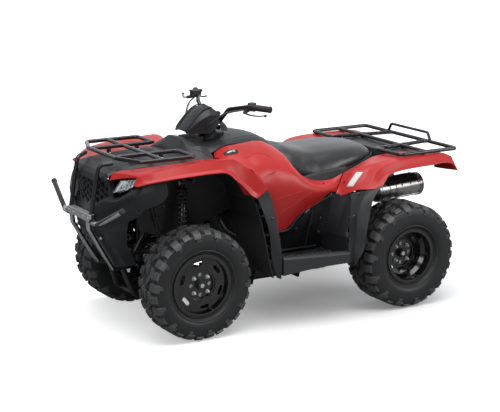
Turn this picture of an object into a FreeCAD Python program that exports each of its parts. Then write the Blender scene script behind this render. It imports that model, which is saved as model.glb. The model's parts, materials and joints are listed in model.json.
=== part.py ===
import FreeCAD, Part
import math
import os
from FreeCAD import Vector

# Utility quad bike, full size, in millimetres.
# +X points forward, +Y to the rider's left, +Z up. The origin is on the ground, below the middle of the vehicle.
# A moulded shell and frame carry the engine, racks and seat. The handlebar turns a raked stem, whose arm
# drives both front knuckles through tie rods. The rear wheels share one live axle in a swingarm.

SIZES = [
    # Chassis layout
    ("wheelbase", 1272), ("front_overhang", 470), ("rear_overhang", 398),
    ("front_arch", 350), ("rear_arch", 422),
    ("front_track", 800), ("rear_track", 904),
    # Tyres and rims
    ("front_tyre_radius", 292), ("front_tyre_width", 203), ("front_rim_radius", 166), ("front_rim_width", 163),
    ("rear_tyre_radius", 292), ("rear_tyre_width", 254), ("rear_rim_radius", 153), ("rear_rim_width", 206),
    ("rim_wall", 5), ("rim_flange", 12), ("rim_disc", 6), ("tyre_bead", 10), ("lug_height", 12),
    ("front_disc_inset", 26), ("rear_disc_inset", 92), ("hub_radius", 36), ("hub_cap_radius", 27),
    ("wheel_bolt_circle", 110), ("window_radius", 11), ("slot_radius", 10),
    # Running clearances
    ("running_gap", 0.3), ("seat_gap", 0.3), ("panel_gap", 3),
    # Axles, knuckles and arms
    ("kingpin_offset", 70), ("kingpin_half_span", 77), ("spindle_radius", 15), ("ball_boss_radius", 18),
    ("ball_boss_height", 24), ("rear_axle_radius", 17), ("axle_housing_radius", 36), ("arm_tube_radius", 12),
    ("knuckle_arm", 67), ("pitman_arm", 63), ("tie_rod_radius", 8), ("rod_eye_radius", 15),
    ("rod_eye_thickness", 12), ("brake_disc_radius", 88), ("brake_disc_thickness", 4), ("spring_radius", 29),
    ("damper_radius", 16),
    # Steering
    ("steer_rake", 24.3), ("steer_foot_x", -10), ("steer_foot_height", 330), ("stem_radius", 15),
    ("stem_length", 765), ("bar_radius", 11), ("grip_radius", 17), ("grip_length", 122),
    ("bar_height", 1158), ("bar_half_width", 412),
    # Frame
    ("rail_radius", 16), ("rail_height", 170), ("rail_half_width", 100), ("tube_radius", 13),
    ("tower_height", 800), ("seat_rail_height", 690),
    # Bodywork
    ("wall", 4), ("fender_height", 927), ("front_half_width", 525), ("rear_fender_height", 824),
    ("rear_half_width", 600), ("flap_foot", 276), ("floor_height", 335), ("floor_thickness", 8),
    ("tank_height", 985), ("seat_height", 832), ("cover_half_width", 200),
    # Racks and guard
    ("rack_tube_radius", 11), ("front_rack_height", 938), ("front_rack_half_width", 345),
    ("rear_rack_height", 843), ("rear_rack_half_width", 440), ("rack_bend", 24),
    ("guard_half_width", 127), ("guard_foot", 640),
    # Engine and exhaust
    ("engine_length", 420), ("engine_width", 290), ("engine_height", 330), ("muffler_radius", 63),
    ("muffler_length", 300), ("muffler_side", 245), ("muffler_height", 612), ("pipe_radius", 19),
    # Towing
    ("hitch_hole_radius", 9.6), ("hitch_plate", 8), ("hitch_height", 300),
]

doc = FreeCAD.newDocument("quad_bike")
sheet = doc.addObject("Spreadsheet::Sheet", "Sizes")
for row, (alias, value) in enumerate(SIZES, start=1):
    sheet.set(f"A{row}", alias)
    sheet.set(f"B{row}", str(value))
    sheet.setAlias(f"B{row}", alias)
doc.recompute()


def size(alias):
    """A driving dimension, read from the spreadsheet."""
    return float(getattr(sheet, alias))


FRONT_X = (size("wheelbase") + size("rear_overhang") - size("front_overhang")) / 2
REAR_X = FRONT_X - size("wheelbase")
FRONT_Z = size("front_tyre_radius")
REAR_Z = size("rear_tyre_radius")
FRONT_Y = size("front_track") / 2
REAR_Y = size("rear_track") / 2
KINGPIN_Y = FRONT_Y - size("kingpin_offset")
WALL = size("wall")
GAP = size("seat_gap")


def front(distance):
    """A station that keeps its distance ahead of the front axle."""
    return FRONT_X + distance


def rear(distance):
    """A station that keeps its distance ahead of the rear axle."""
    return REAR_X + distance


def middle(share):
    """A station between the wheel arches, 0 at the front arch and 1 at the rear one."""
    return (FRONT_X - size("front_arch")) * (1 - share) + (REAR_X + size("rear_arch")) * share


# Pieces of the document


def feature(label, shape):
    piece = doc.addObject("Part::Feature", label)
    piece.Shape = shape
    piece.Label = label
    return piece


def primitive(kind, label, place, axis=None, **bound):
    """A Part primitive whose sizes are bound to the spreadsheet."""
    piece = doc.addObject("Part::" + kind, label)
    for name, expression in bound.items():
        piece.setExpression(name, expression)
    rotation = FreeCAD.Rotation(Vector(0, 0, 1), axis) if axis else FreeCAD.Rotation()
    piece.Placement = FreeCAD.Placement(place, rotation)
    return piece


def combine(kind, label, pieces):
    piece = doc.addObject("Part::" + kind, label)
    piece.Label = label
    if kind == "Cut":
        piece.Base, piece.Tool = pieces
    else:
        piece.Shapes = pieces
    return piece


def shape_of(name):
    return doc.getObject(name).Shape


def largest(shape):
    return max(shape.Solids, key=lambda solid: solid.Volume)


def add_lugs(name, lugs, against, mirrored=True):
    """Lugs on a piece that reach the pieces it is screwed to, trimmed to sit on them."""
    trimmed = []
    for lug in lugs + ([other_side(lug) for lug in lugs] if mirrored else []):
        for other in against:
            lug = lug.cut(shape_of(other))
        trimmed.append(largest(lug))
    piece = doc.getObject(name)
    loose = list(piece.Shape.Solids)
    for lug in trimmed:
        home = next(i for i, solid in enumerate(loose) if solid.common(lug).Volume > 0)
        loose[home] = loose[home].fuse(lug).Solids[0]
    piece.Shape = loose[0] if len(loose) == 1 else Part.makeCompound(loose)


def both_sides(shape):
    """The shape and its mirror image across the vehicle's middle plane."""
    return Part.makeCompound([shape, other_side(shape)])


def other_side(shape):
    return shape.mirror(Vector(0, 0, 0), Vector(0, 1, 0))


def fused(shapes, slack=0):
    """One solid from pieces that overlap, joined in turn, or all at once with some slack for a net of tubes."""
    joined = shapes[0]
    if slack:
        joined = joined.fuse(shapes[1:], slack)
    else:
        for shape in shapes[1:]:
            joined = joined.fuse(shape)
        joined = joined.removeSplitter()
    if len(joined.Solids) != 1 or not joined.isValid():
        raise RuntimeError(f"a fused piece came apart: {len(joined.Solids)} solids")
    return joined.Solids[0]


# Tubes and bars


def tube(points, radius, bend):
    """A round bar along straight runs joined by tangent arcs."""
    edges = []
    start = points[0]
    for before, corner, after in zip(points, points[1:], points[2:]):
        come = (corner - before).normalize()
        leave = (after - corner).normalize()
        turn = come.getAngle(leave)
        back = bend * math.tan(turn / 2)
        first = corner - come * back
        last = corner + leave * back
        inward = (leave - come).normalize()
        middle_of_arc = corner + inward * (bend / math.cos(turn / 2) - bend)
        edges.append(Part.LineSegment(start, first).toShape())
        edges.append(Part.Arc(first, middle_of_arc, last).toShape())
        start = last
    edges.append(Part.LineSegment(start, points[-1]).toShape())
    section = Part.Wire([Part.Circle(points[0], points[1] - points[0], radius).toShape()])
    return Part.Wire(edges).makePipeShell([section], True, False)


def bar(start, end, radius):
    along = end - start
    return Part.makeCylinder(radius, along.Length, start, along)


def disc(centre, axis, radius, thickness):
    """A round plate with its middle at centre."""
    axis = Vector(axis).normalize()
    return Part.makeCylinder(radius, thickness, centre - axis * (thickness / 2), axis)


def ring(centre, axis, outer, inner, thickness):
    return disc(centre, axis, outer, thickness).cut(disc(centre, axis, inner, thickness * 2))


def turned(profile, centre, axis_point):
    """A solid turned about the lateral axis through centre, from (offset, radius) points."""
    points = [centre + Vector(0, offset, radius) for offset, radius in profile]
    outline = Part.makePolygon(points + [points[0]])
    return Part.Face(outline).revolve(centre, axis_point, 360)


# Skins made of flat facets


def facets(a, b, c, d):
    """The four-cornered cell a b c d: one face where it is flat, and otherwise two."""
    across = (b - a).cross(c - a)
    if across.Length > 1e-6 and abs(across.dot(d - a)) / across.Length < 1e-7:
        return [polygon([a, b, c, d])]
    return [polygon(corners) for corners in ([a, b, c], [a, c, d]) if spread(corners) > 1e-4]


def spread(corners):
    return (corners[1] - corners[0]).cross(corners[2] - corners[0]).Length


def polygon(points):
    return Part.Face(Part.makePolygon(points + [points[0]]))


def closed_solid(faces):
    solid = Part.makeSolid(Part.makeShell(faces))
    return solid if solid.Volume > 0 else solid.reversed()


def corner_normals(rows):
    """The mean of the facet normals round each point of a grid."""
    height, width = len(rows), len(rows[0])
    normals = []
    for i in range(height):
        line = []
        for j in range(width):
            total = Vector(0, 0, 0)
            for di, dj in ((0, 0), (-1, 0), (0, -1), (-1, -1)):
                k, m = i + di, j + dj
                if 0 <= k < height - 1 and 0 <= m < width - 1:
                    down = rows[k + 1][m + 1] - rows[k][m]
                    over = rows[k][m + 1] - rows[k + 1][m]
                    total += down.cross(over).normalize()
            line.append(total.normalize())
        normals.append(line)
    return normals


def panel(rows, thickness, side):
    """A moulded wall: rows of points on its outer face, thickened to one side of it."""
    normals = corner_normals(rows)
    inner = [
        [point + normal * (side * thickness) for point, normal in zip(line, along)]
        for line, along in zip(rows, normals)
    ]
    height, width = len(rows), len(rows[0])
    faces = []
    for i in range(height - 1):
        for j in range(width - 1):
            faces += facets(rows[i][j], rows[i + 1][j], rows[i + 1][j + 1], rows[i][j + 1])
            faces += facets(inner[i][j], inner[i][j + 1], inner[i + 1][j + 1], inner[i + 1][j])
    for i in range(height - 1):
        for j in (0, width - 1):
            faces += facets(rows[i][j], rows[i + 1][j], inner[i + 1][j], inner[i][j])
    for j in range(width - 1):
        for i in (0, height - 1):
            faces += facets(rows[i][j], rows[i][j + 1], inner[i][j + 1], inner[i][j])
    return closed_solid(faces)


def block(sections):
    """A solid through closed flat sections that have as many points each."""
    faces = [polygon(sections[0]), polygon(sections[-1])]
    for one, two in zip(sections, sections[1:]):
        for j in range(len(one)):
            k = (j + 1) % len(one)
            faces += facets(one[j], two[j], two[k], one[k])
    return closed_solid(faces)


def station(x, pairs):
    """One row of a panel: a list of (y, z) pairs at one place along the vehicle."""
    return [Vector(x, y, z) for y, z in pairs]


def whole_station(x, half):
    """A closed section across the vehicle from the points of its left half, centre first and last."""
    right = [(-y, z) for y, z in reversed(half) if y > 0]
    return station(x, half + right)


# Wheels


TREAD_PITCHES = 14


def tyre(centre, radius, width, rim_radius, rim_width):
    """A tyre from its beads out to its lugs, which stand out left and right of the crown's rib in turn."""
    half, seat = width / 2, rim_radius - size("rim_flange")
    bead = rim_width / 2 - size("rim_wall") - GAP
    deep, crown = size("lug_height"), half * 0.1
    shared = [(half, (rim_radius + radius) / 2 + 8), (bead, rim_radius + size("tyre_bead")), (bead, seat - 10)]
    block_line = [(crown, radius), (half * 0.62, radius - 1), (half * 0.96, radius - 24)]
    valley_line = [(crown, radius), (crown, radius - deep), (half * 0.62, radius - deep - 1), (half * 0.9, radius - 30)]
    step = 2 * math.pi / (2 * TREAD_PITCHES)

    def ring(turn, pairs, side):
        return [centre + Vector(r * math.sin(turn), y * side, r * math.cos(turn)) for y, r in pairs]

    faces = []
    for k in range(2 * TREAD_PITCHES):
        start, end = k * step, (k + 1) * step
        for side in (1, -1):
            line = (block_line if (k % 2 == 0) == (side > 0) else valley_line) + shared
            near, far = ring(start, line, side), ring(end, line, side)
            for j in range(len(line) - 1):
                faces.append(polygon([near[j], near[j + 1], far[j + 1], far[j]]))
            cheek = [valley_line[0], block_line[1], block_line[2], shared[0]] + valley_line[:0:-1]
            faces.append(polygon(ring(start, cheek, side)))
        for pair in (shared[-1], (crown, radius)):
            near, far = ring(start, [pair], 1)[0], ring(end, [pair], 1)[0]
            faces.append(polygon([near, far, ring(end, [pair], -1)[0], ring(start, [pair], -1)[0]]))
    bore = Part.makeCylinder(seat + GAP, width * 2, centre - Vector(0, width, 0), Vector(0, 1, 0))
    return closed_solid(faces).cut(bore)


def rim(centre, rim_radius, rim_width, disc_inset, side):
    """A pressed rim: flanged barrel, dished disc with a ring of slots, and a bolted middle with windows."""
    half, wall = rim_width / 2, size("rim_wall")
    seat = rim_radius - size("rim_flange")
    well = seat - 16
    barrel = turned(
        [
            (-half, rim_radius), (-half, seat - wall), (-half * 0.6, seat - wall), (-half * 0.45, well - wall),
            (half * 0.3, well - wall), (half * 0.5, seat - wall), (half, seat - wall), (half, rim_radius),
            (half - wall, rim_radius), (half - wall, seat), (half * 0.55, seat), (half * 0.35, well),
            (-half * 0.5, well), (-half * 0.65, seat), (-half + wall, seat), (-half + wall, rim_radius),
        ],
        centre, Vector(0, 1, 0),
    )
    plate = size("rim_disc")
    ring_radius = size("wheel_bolt_circle") / 2 + 20
    rise = 14
    middle_y = half - disc_inset
    edge = (well if middle_y < half * 0.3 else seat) - wall + 0.5
    dish = [
        (middle_y - plate, size("hub_cap_radius") - 4), (middle_y - plate, ring_radius - 2),
        (middle_y + rise - plate, ring_radius + 6), (middle_y + rise - 2 * plate, edge),
        (middle_y + rise - plate, edge), (middle_y + rise, ring_radius + 6), (middle_y, ring_radius - 2),
        (middle_y, size("hub_cap_radius") - 4),
    ]
    dish_shape = turned([(offset * side, radius) for offset, radius in dish], centre, Vector(0, 1, 0))
    tools = []
    for turn in range(4):
        angle = math.radians(90 * turn)
        tools.append(hole_at(centre, size("wheel_bolt_circle") / 2 - 2, angle, size("window_radius")))
    for turn in range(6):
        tools += slot_at(centre, (ring_radius + edge) / 2 + 4, 60 * turn + 9, size("slot_radius"), 17)
    return fused([barrel, dish_shape.cut(Part.makeCompound(tools))])


def hole_at(centre, reach, angle, radius):
    """A lateral drill through a wheel's disc."""
    place = centre + Vector(reach * math.sin(angle), -200, reach * math.cos(angle))
    return Part.makeCylinder(radius, 400, place, Vector(0, 1, 0))


def slot_at(centre, reach, turn, radius, spread):
    """A lateral oval cut through a wheel's disc, its long way round the wheel."""
    box = Part.makeBox(2 * spread, 400, 2 * radius, centre + Vector(-spread, -200, reach - radius))
    ends = [Part.makeCylinder(radius, 400, centre + Vector(x, -200, reach), Vector(0, 1, 0)) for x in (-spread, spread)]
    tools = [box] + ends
    for tool in tools:
        tool.rotate(centre, Vector(0, 1, 0), turn)
    return tools


def disc_face(track_half, rim_width, inset):
    """How far out the inner face of a wheel's bolted middle lies."""
    return track_half + rim_width / 2 - inset - size("rim_disc")


FRONT_DISC_Y = disc_face(FRONT_Y, size("front_rim_width"), size("front_disc_inset"))
REAR_DISC_Y = disc_face(REAR_Y, size("rear_rim_width"), size("rear_disc_inset"))


def make_front_wheel(name, side):
    centre = Vector(FRONT_X, side * FRONT_Y, FRONT_Z)
    feature("front_tyre_" + name, tyre(
        centre, size("front_tyre_radius"), size("front_tyre_width"), size("front_rim_radius"),
        size("front_rim_width")))
    feature("front_rim_" + name, rim(
        centre, size("front_rim_radius"), size("front_rim_width"), size("front_disc_inset"), side))
    axle = Vector(0, side, 0)
    spindle = size("spindle_radius") + size("running_gap")
    barrel_start = KINGPIN_Y + 48
    flange_y = FRONT_DISC_Y - GAP
    flange = 8
    parts = [
        Part.makeCylinder(size("hub_radius"), flange_y - barrel_start, at_y(barrel_start, side), axle),
        Part.makeCylinder(size("wheel_bolt_circle") / 2 + 14, flange, at_y(flange_y - flange, side), axle),
        Part.makeCylinder(size("brake_disc_radius"), size("brake_disc_thickness"), at_y(barrel_start, side), axle),
        Part.makeCylinder(size("hub_cap_radius") - 6, 30, at_y(flange_y - 1, side), axle),
    ]
    hub = fused(parts)
    bore = Part.makeCylinder(spindle, flange_y - barrel_start + 1, at_y(barrel_start - 1, side), axle)
    feature("front_hub_" + name, hub.cut(bore))


def at_y(distance, side):
    """A point on the front axle line."""
    return Vector(FRONT_X, side * distance, FRONT_Z)


def make_rear_wheels():
    shapes = []
    rims = []
    for side in (1, -1):
        centre = Vector(REAR_X, side * REAR_Y, REAR_Z)
        shapes.append(tyre(
            centre, size("rear_tyre_radius"), size("rear_tyre_width"), size("rear_rim_radius"),
            size("rear_rim_width")))
        rims.append(rim(
            centre, size("rear_rim_radius"), size("rear_rim_width"), size("rear_disc_inset"), side))
    feature("rear_tyres", Part.makeCompound(shapes))
    feature("rear_rims", Part.makeCompound(rims))


def make_rear_axle():
    """One live axle with a flanged hub at each end, on bound primitives."""
    half = REAR_DISC_Y - GAP
    flange = 10
    across = Vector(0, 1, 0)
    shaft = primitive("Cylinder", "axle_shaft", Vector(REAR_X, -half, REAR_Z), across,
                      Radius="Sizes.rear_axle_radius")
    shaft.Height = 2 * half
    pieces = [shaft]
    for side in (1, -1):
        out = Vector(0, side, 0)
        plate = primitive("Cylinder", f"axle_flange_{side}", Vector(REAR_X, side * (half - flange), REAR_Z), out,
                          Radius="Sizes.wheel_bolt_circle / 2 + 14")
        plate.Height = flange
        hub = primitive("Cylinder", f"axle_hub_{side}", Vector(REAR_X, side * (half - 60), REAR_Z), out,
                        Radius="Sizes.hub_radius")
        hub.Height = 60
        cap = primitive("Cylinder", f"axle_cap_{side}", Vector(REAR_X, side * (half - 1), REAR_Z), out,
                        Radius="Sizes.hub_cap_radius - 6")
        cap.Height = 30
        pieces += [plate, hub, cap]
    combine("MultiFuse", "rear_axle", pieces)


# Front suspension and steering


def boss(z_from, z_to):
    """A ball joint's boss on the left kingpin axis."""
    return Part.makeCylinder(size("ball_boss_radius"), z_to - z_from, Vector(FRONT_X, KINGPIN_Y, z_from))


def arm_seat():
    """How far out the arms' pivot sleeves lie, against the frame's rails."""
    return size("rail_half_width") + size("rail_radius") + size("arm_tube_radius") + GAP


def make_front_arms():
    upper_z = FRONT_Z + size("kingpin_half_span")
    lower_z = FRONT_Z - size("kingpin_half_span")
    height = size("ball_boss_height")
    radius = size("arm_tube_radius")
    arms = []
    for ball_z, spread_x, pivot_z, top in (
        (lower_z - height / 2, 125, size("rail_height") + 4, False),
        (upper_z + height / 2, 112, FRONT_Z + 118, True),
    ):
        ball = Vector(FRONT_X, KINGPIN_Y, ball_z)
        pivot_y = arm_seat()
        ends = [Vector(front(s * spread_x), pivot_y, pivot_z) for s in (1, -1)]
        pieces = [bar(end, ball, radius) for end in ends]
        pieces += [bar(end - Vector(22, 0, 0), end + Vector(22, 0, 0), radius + 2 - 2) for end in ends]
        pieces.append(boss(ball_z - height / 2, ball_z + height / 2))
        if not top:
            foot = shock_foot()
            pieces.append(disc(Vector(foot.x, foot.y, foot.z - 14), Vector(0, 0, 1), 22, 24))
            pieces.append(bar(Vector(front(70), foot.y - 42, ball_z - 6), Vector(front(-70), foot.y - 42, ball_z - 6), radius))
            pieces.append(bar(Vector(foot.x, foot.y - 42, ball_z - 6), Vector(foot.x, foot.y, foot.z - 14), radius))
        arms.append(fused(pieces))
    feature("front_arms", Part.makeCompound(arms + [other_side(a) for a in arms]))


def shock_foot():
    return Vector(front(-4), KINGPIN_Y - 76, FRONT_Z - size("kingpin_half_span") + 14)


def shock_head():
    return Vector(front(-32), KINGPIN_Y - 122, size("tower_height") - size("tube_radius") - 8)


def coil(low, high, core, wide):
    """The turns of a spring, as ridges round a core."""
    length = (high - low).Length + 1
    turns = round(length / 30)
    pitch = length / turns
    pairs = [(0, core)]
    for k in range(turns):
        pairs += [(pitch * (k + 0.2), core), (pitch * (k + 0.38), wide), (pitch * (k + 0.62), wide)]
        pairs.append((pitch * (k + 0.8), core))
    pairs.append((length, core))
    rings = []
    for along, radius in pairs:
        rings.append([Vector(radius * math.cos(k * math.pi / 8), radius * math.sin(k * math.pi / 8), along)
                      for k in range(16)])
    faces = [polygon(rings[0]), polygon(rings[-1])]
    for near, far in zip(rings, rings[1:]):
        for k in range(16):
            faces.append(polygon([near[k], near[(k + 1) % 16], far[(k + 1) % 16], far[k]]))
    shape = closed_solid(faces)
    along = (high - low) * (1 / (high - low).Length)
    shape.Placement = FreeCAD.Placement(low - along * 0.5, FreeCAD.Rotation(Vector(0, 0, 1), along))
    return shape


def shock(foot, head, spring_from, spring_to):
    """A coil-over damper: slim body, spring seats and the spring between them."""
    along = head - foot
    low = foot + along * spring_from
    high = foot + along * spring_to
    step = along * (1 / along.Length)
    wide = size("spring_radius")
    pieces = [
        bar(foot, head, size("damper_radius")),
        coil(low, high, size("damper_radius") + 4, wide),
        bar(low - step * 8, low, wide + 3),
        bar(high, high + step * 8, wide + 3),
    ]
    return fused(pieces)


def make_front_shocks():
    foot = shock_foot() + Vector(0, 0, GAP)
    one = shock(foot, shock_head(), 0.5, 0.93)
    base = Part.makeBox(400, 400, 100, Vector(front(-200), 0, foot.z - 100 - 2 + GAP))
    one = one.cut(base)
    feature("front_shocks", both_sides(one))


def make_knuckle(name, side):
    """Upright with its two ball eyes, spindle, steering arm and brake caliper."""
    height, reach = size("ball_boss_height"), size("kingpin_half_span")
    low, high = FRONT_Z - reach + GAP, FRONT_Z + reach - GAP
    spindle_end = FRONT_DISC_Y - 12
    arm_x, arm_z = front(-size("knuckle_arm")), size("steer_foot_height")
    eye = size("rod_eye_thickness")
    upright = Part.makeBox(44, 22, high - low, Vector(front(-22), KINGPIN_Y + 14, low))
    pieces = [
        boss(low, low + height), boss(high - height, high), upright,
        Part.makeBox(30, 20, height, Vector(front(-15), KINGPIN_Y, low)),
        Part.makeBox(30, 20, height, Vector(front(-15), KINGPIN_Y, high - height)),
        Part.makeCylinder(28, 20, Vector(FRONT_X, KINGPIN_Y + 22, FRONT_Z), Vector(0, 1, 0)),
        Part.makeCylinder(size("spindle_radius"), spindle_end - KINGPIN_Y - 20,
                          Vector(FRONT_X, KINGPIN_Y + 20, FRONT_Z), Vector(0, 1, 0)),
        bar(Vector(front(-18), KINGPIN_Y + 24, arm_z - 8 - eye / 2), Vector(arm_x, KINGPIN_Y, arm_z - 8 - eye / 2), 9),
        disc(Vector(arm_x, KINGPIN_Y, arm_z - 8 - eye / 2), Vector(0, 0, 1), size("rod_eye_radius"), eye),
    ]
    disc_y = KINGPIN_Y + 48
    slot = 5
    caliper = Part.makeBox(46, 34, 52, Vector(front(-88), disc_y - 17 + 2, FRONT_Z + 38))
    groove = Part.makeCylinder(size("brake_disc_radius") + slot, size("brake_disc_thickness") + 2 * slot,
                               Vector(FRONT_X, disc_y - slot, FRONT_Z), Vector(0, 1, 0))
    stay = bar(Vector(front(-20), KINGPIN_Y + 26, FRONT_Z + 30), Vector(front(-64), KINGPIN_Y + 38, FRONT_Z + 62), 7)
    pieces += [caliper.cut(groove), stay]
    shape = fused(pieces)
    feature("knuckle_" + name, shape if side > 0 else other_side(shape))


def steer_point(ahead, sideways, along):
    """A point placed from the foot of the raked steering stem: ahead of it, to its left, and up along it."""
    rake = math.radians(size("steer_rake"))
    foot = Vector(front(size("steer_foot_x")), 0, size("steer_foot_height"))
    axis = Vector(-math.sin(rake), 0, math.cos(rake))
    forward = Vector(math.cos(rake), 0, math.sin(rake))
    return foot + axis * along + forward * ahead + Vector(0, sideways, 0)


def pitman_eye(side):
    """The tie rod's pivot on the stem's arm, at the height of the stem's foot."""
    rake = math.radians(size("steer_rake"))
    reach = size("pitman_arm") * math.cos(rake)
    return steer_point(-reach, side * 32, reach * math.tan(rake))


def make_stem():
    up = steer_point(0, 0, 1) - steer_point(0, 0, 0)
    shaft = Part.makeCylinder(size("stem_radius"), size("stem_length") + 40, steer_point(0, 0, -40), up)
    eye, gap = size("rod_eye_thickness"), size("running_gap")
    pieces = [shaft]
    for side in (1, -1):
        pivot = pitman_eye(side)
        below = pivot - up * (eye / 2 + gap)
        pieces.append(Part.makeCylinder(size("rod_eye_radius"), 10, below - up * 10, up))
        pieces.append(Part.makeCylinder(5, eye + 12, below - up * 5, up))
        pieces.append(Part.makeCylinder(9, 5, pivot + up * (eye / 2 + gap), up))
    reach = size("pitman_arm") * math.cos(math.radians(size("steer_rake")))
    along = reach * math.tan(math.radians(size("steer_rake")))
    corner = steer_point(-reach - 5, -32, along - eye / 2 - gap - 10)
    arm = Part.makeBox(reach + 10, 64, 10, corner)
    arm.rotate(corner, Vector(0, 1, 0), -size("steer_rake"))
    pieces += [arm, clamp_block(0)]
    feature("steering_stem", fused(pieces))


def clamp_block(grow):
    """The block that carries the bar at the stem's head, grown by a margin."""
    corner = steer_point(-24 - grow, -58 - grow, size("stem_length") - 12 - grow)
    shape = Part.makeBox(48 + 2 * grow, 116 + 2 * grow, 26 + 2 * grow, corner)
    shape.rotate(corner, Vector(0, 1, 0), -size("steer_rake"))
    return shape


def make_tie_rod(name, side):
    """Rod from the stem's arm out to the knuckle's arm, with an eye at each end."""
    up = steer_point(0, 0, 1) - steer_point(0, 0, 0)
    inner = pitman_eye(1)
    outer = Vector(front(-size("knuckle_arm")), KINGPIN_Y, size("steer_foot_height"))
    outer.z += size("rod_eye_thickness") / 2 + 4
    eye = size("rod_eye_thickness")
    shape = fused([
        disc(inner, up, size("rod_eye_radius") - 1, eye),
        disc(outer, Vector(0, 0, 1), size("rod_eye_radius"), eye),
        bar(inner, outer, size("tie_rod_radius") - 2.5),
    ])
    pin = Part.makeCylinder(5 + size("running_gap"), 60, inner - up * 30, up)
    stud = Part.makeCylinder(6, 60, outer - Vector(0, 0, 30))
    shape = shape.cut(Part.makeCompound([pin, stud]))
    feature("tie_rod_" + name, shape if side > 0 else other_side(shape))


def bar_clamp():
    return steer_point(0, 0, size("stem_length") + 14 + size("bar_radius") + GAP)


def bent_bar(radius):
    """One bent bar, clamped at the middle and rising to the grips."""
    middle_point = bar_clamp()
    height, half = size("bar_height"), size("bar_half_width")
    left = [
        middle_point + Vector(0, 62, 0), Vector(front(-335), 168, height - 22),
        Vector(front(-392), half - size("grip_length") - 18, height), Vector(front(-450), half - 3, height - 2),
    ]
    right = [Vector(p.x, -p.y, p.z) for p in left]
    return tube(list(reversed(right)) + left, radius, 34)


def grip_line(share):
    """A point along the left end of the bar: 0 at its last bend and 1 at its tip."""
    height, half = size("bar_height"), size("bar_half_width")
    start = Vector(front(-392), half - size("grip_length") - 18, height)
    end = Vector(front(-450), half - 3, height - 2)
    return start + (end - start) * share


def make_hand_controls():
    """Grips, switch housings, reservoir and levers, each sleeved over the bar."""
    radius = size("bar_radius") + GAP
    along = grip_line(1) - grip_line(0)
    along.normalize()
    grip = bar(grip_line(0.26), grip_line(1) - along * 0.2, size("grip_radius"))
    housing = fused([bar(grip_line(0.12), grip_line(0.26) - along * 0.5, 21),
                     Part.makeBox(46, 20, 34, grip_line(0.19) + Vector(4, -10, -22))])
    bore = bent_bar(radius)
    perch = grip_line(0.19)
    lever = tube([
        perch + Vector(30, 0, -14), perch + Vector(60, 14, -20), perch + Vector(40, 96, -27),
        perch + Vector(14, 140, -25)], 6, 12)
    left = fused([housing, lever])
    reservoir = Part.makeBox(44, 56, 34, grip_line(0.19) + Vector(10, -60, -20))
    pieces = [grip.cut(bore), left.cut(bore)]
    right_housing = fused([housing, lever, reservoir]).cut(bore)
    pieces += [other_side(grip.cut(bore)), other_side(right_housing)]
    feature("hand_controls", Part.makeCompound(pieces))


def make_handlebar_cover():
    """Hood over the bar clamp, carried on the bar."""
    top = size("bar_height") - 16
    rows = [
        whole_station(front(-108), [(0, 1034), (60, 1034), (78, 1034), (78, 1040), (56, 1044), (0, 1048)]),
        whole_station(front(-140), [(0, 1034), (70, 1034), (96, 1034), (94, 1062), (66, 1084), (0, 1092)]),
        whole_station(front(-185), [(0, 1034), (80, 1034), (108, 1034), (102, 1084), (70, 1114), (0, 1124)]),
        whole_station(front(-240), [(0, 1040), (84, 1040), (112, 1040), (104, 1096), (66, 1132), (0, top)]),
        whole_station(front(-300), [(0, 1096), (70, 1098), (96, 1098), (92, 1112), (60, 1128), (0, top - 10)]),
    ]
    hood = block(rows)
    centre = bar_clamp()
    stay = Part.makeBox(40, 40, 30, Vector(centre.x - 20 + 42, -20, centre.z - 4))
    hood = fused([hood, stay])
    clear = Part.makeCylinder(size("bar_radius") + GAP, 400, Vector(centre.x, -200, centre.z), Vector(0, 1, 0))
    feature("handlebar_cover", hood.cut(Part.makeCompound([clear, clamp_block(GAP)])))


# Frame, engine and rear suspension


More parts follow.
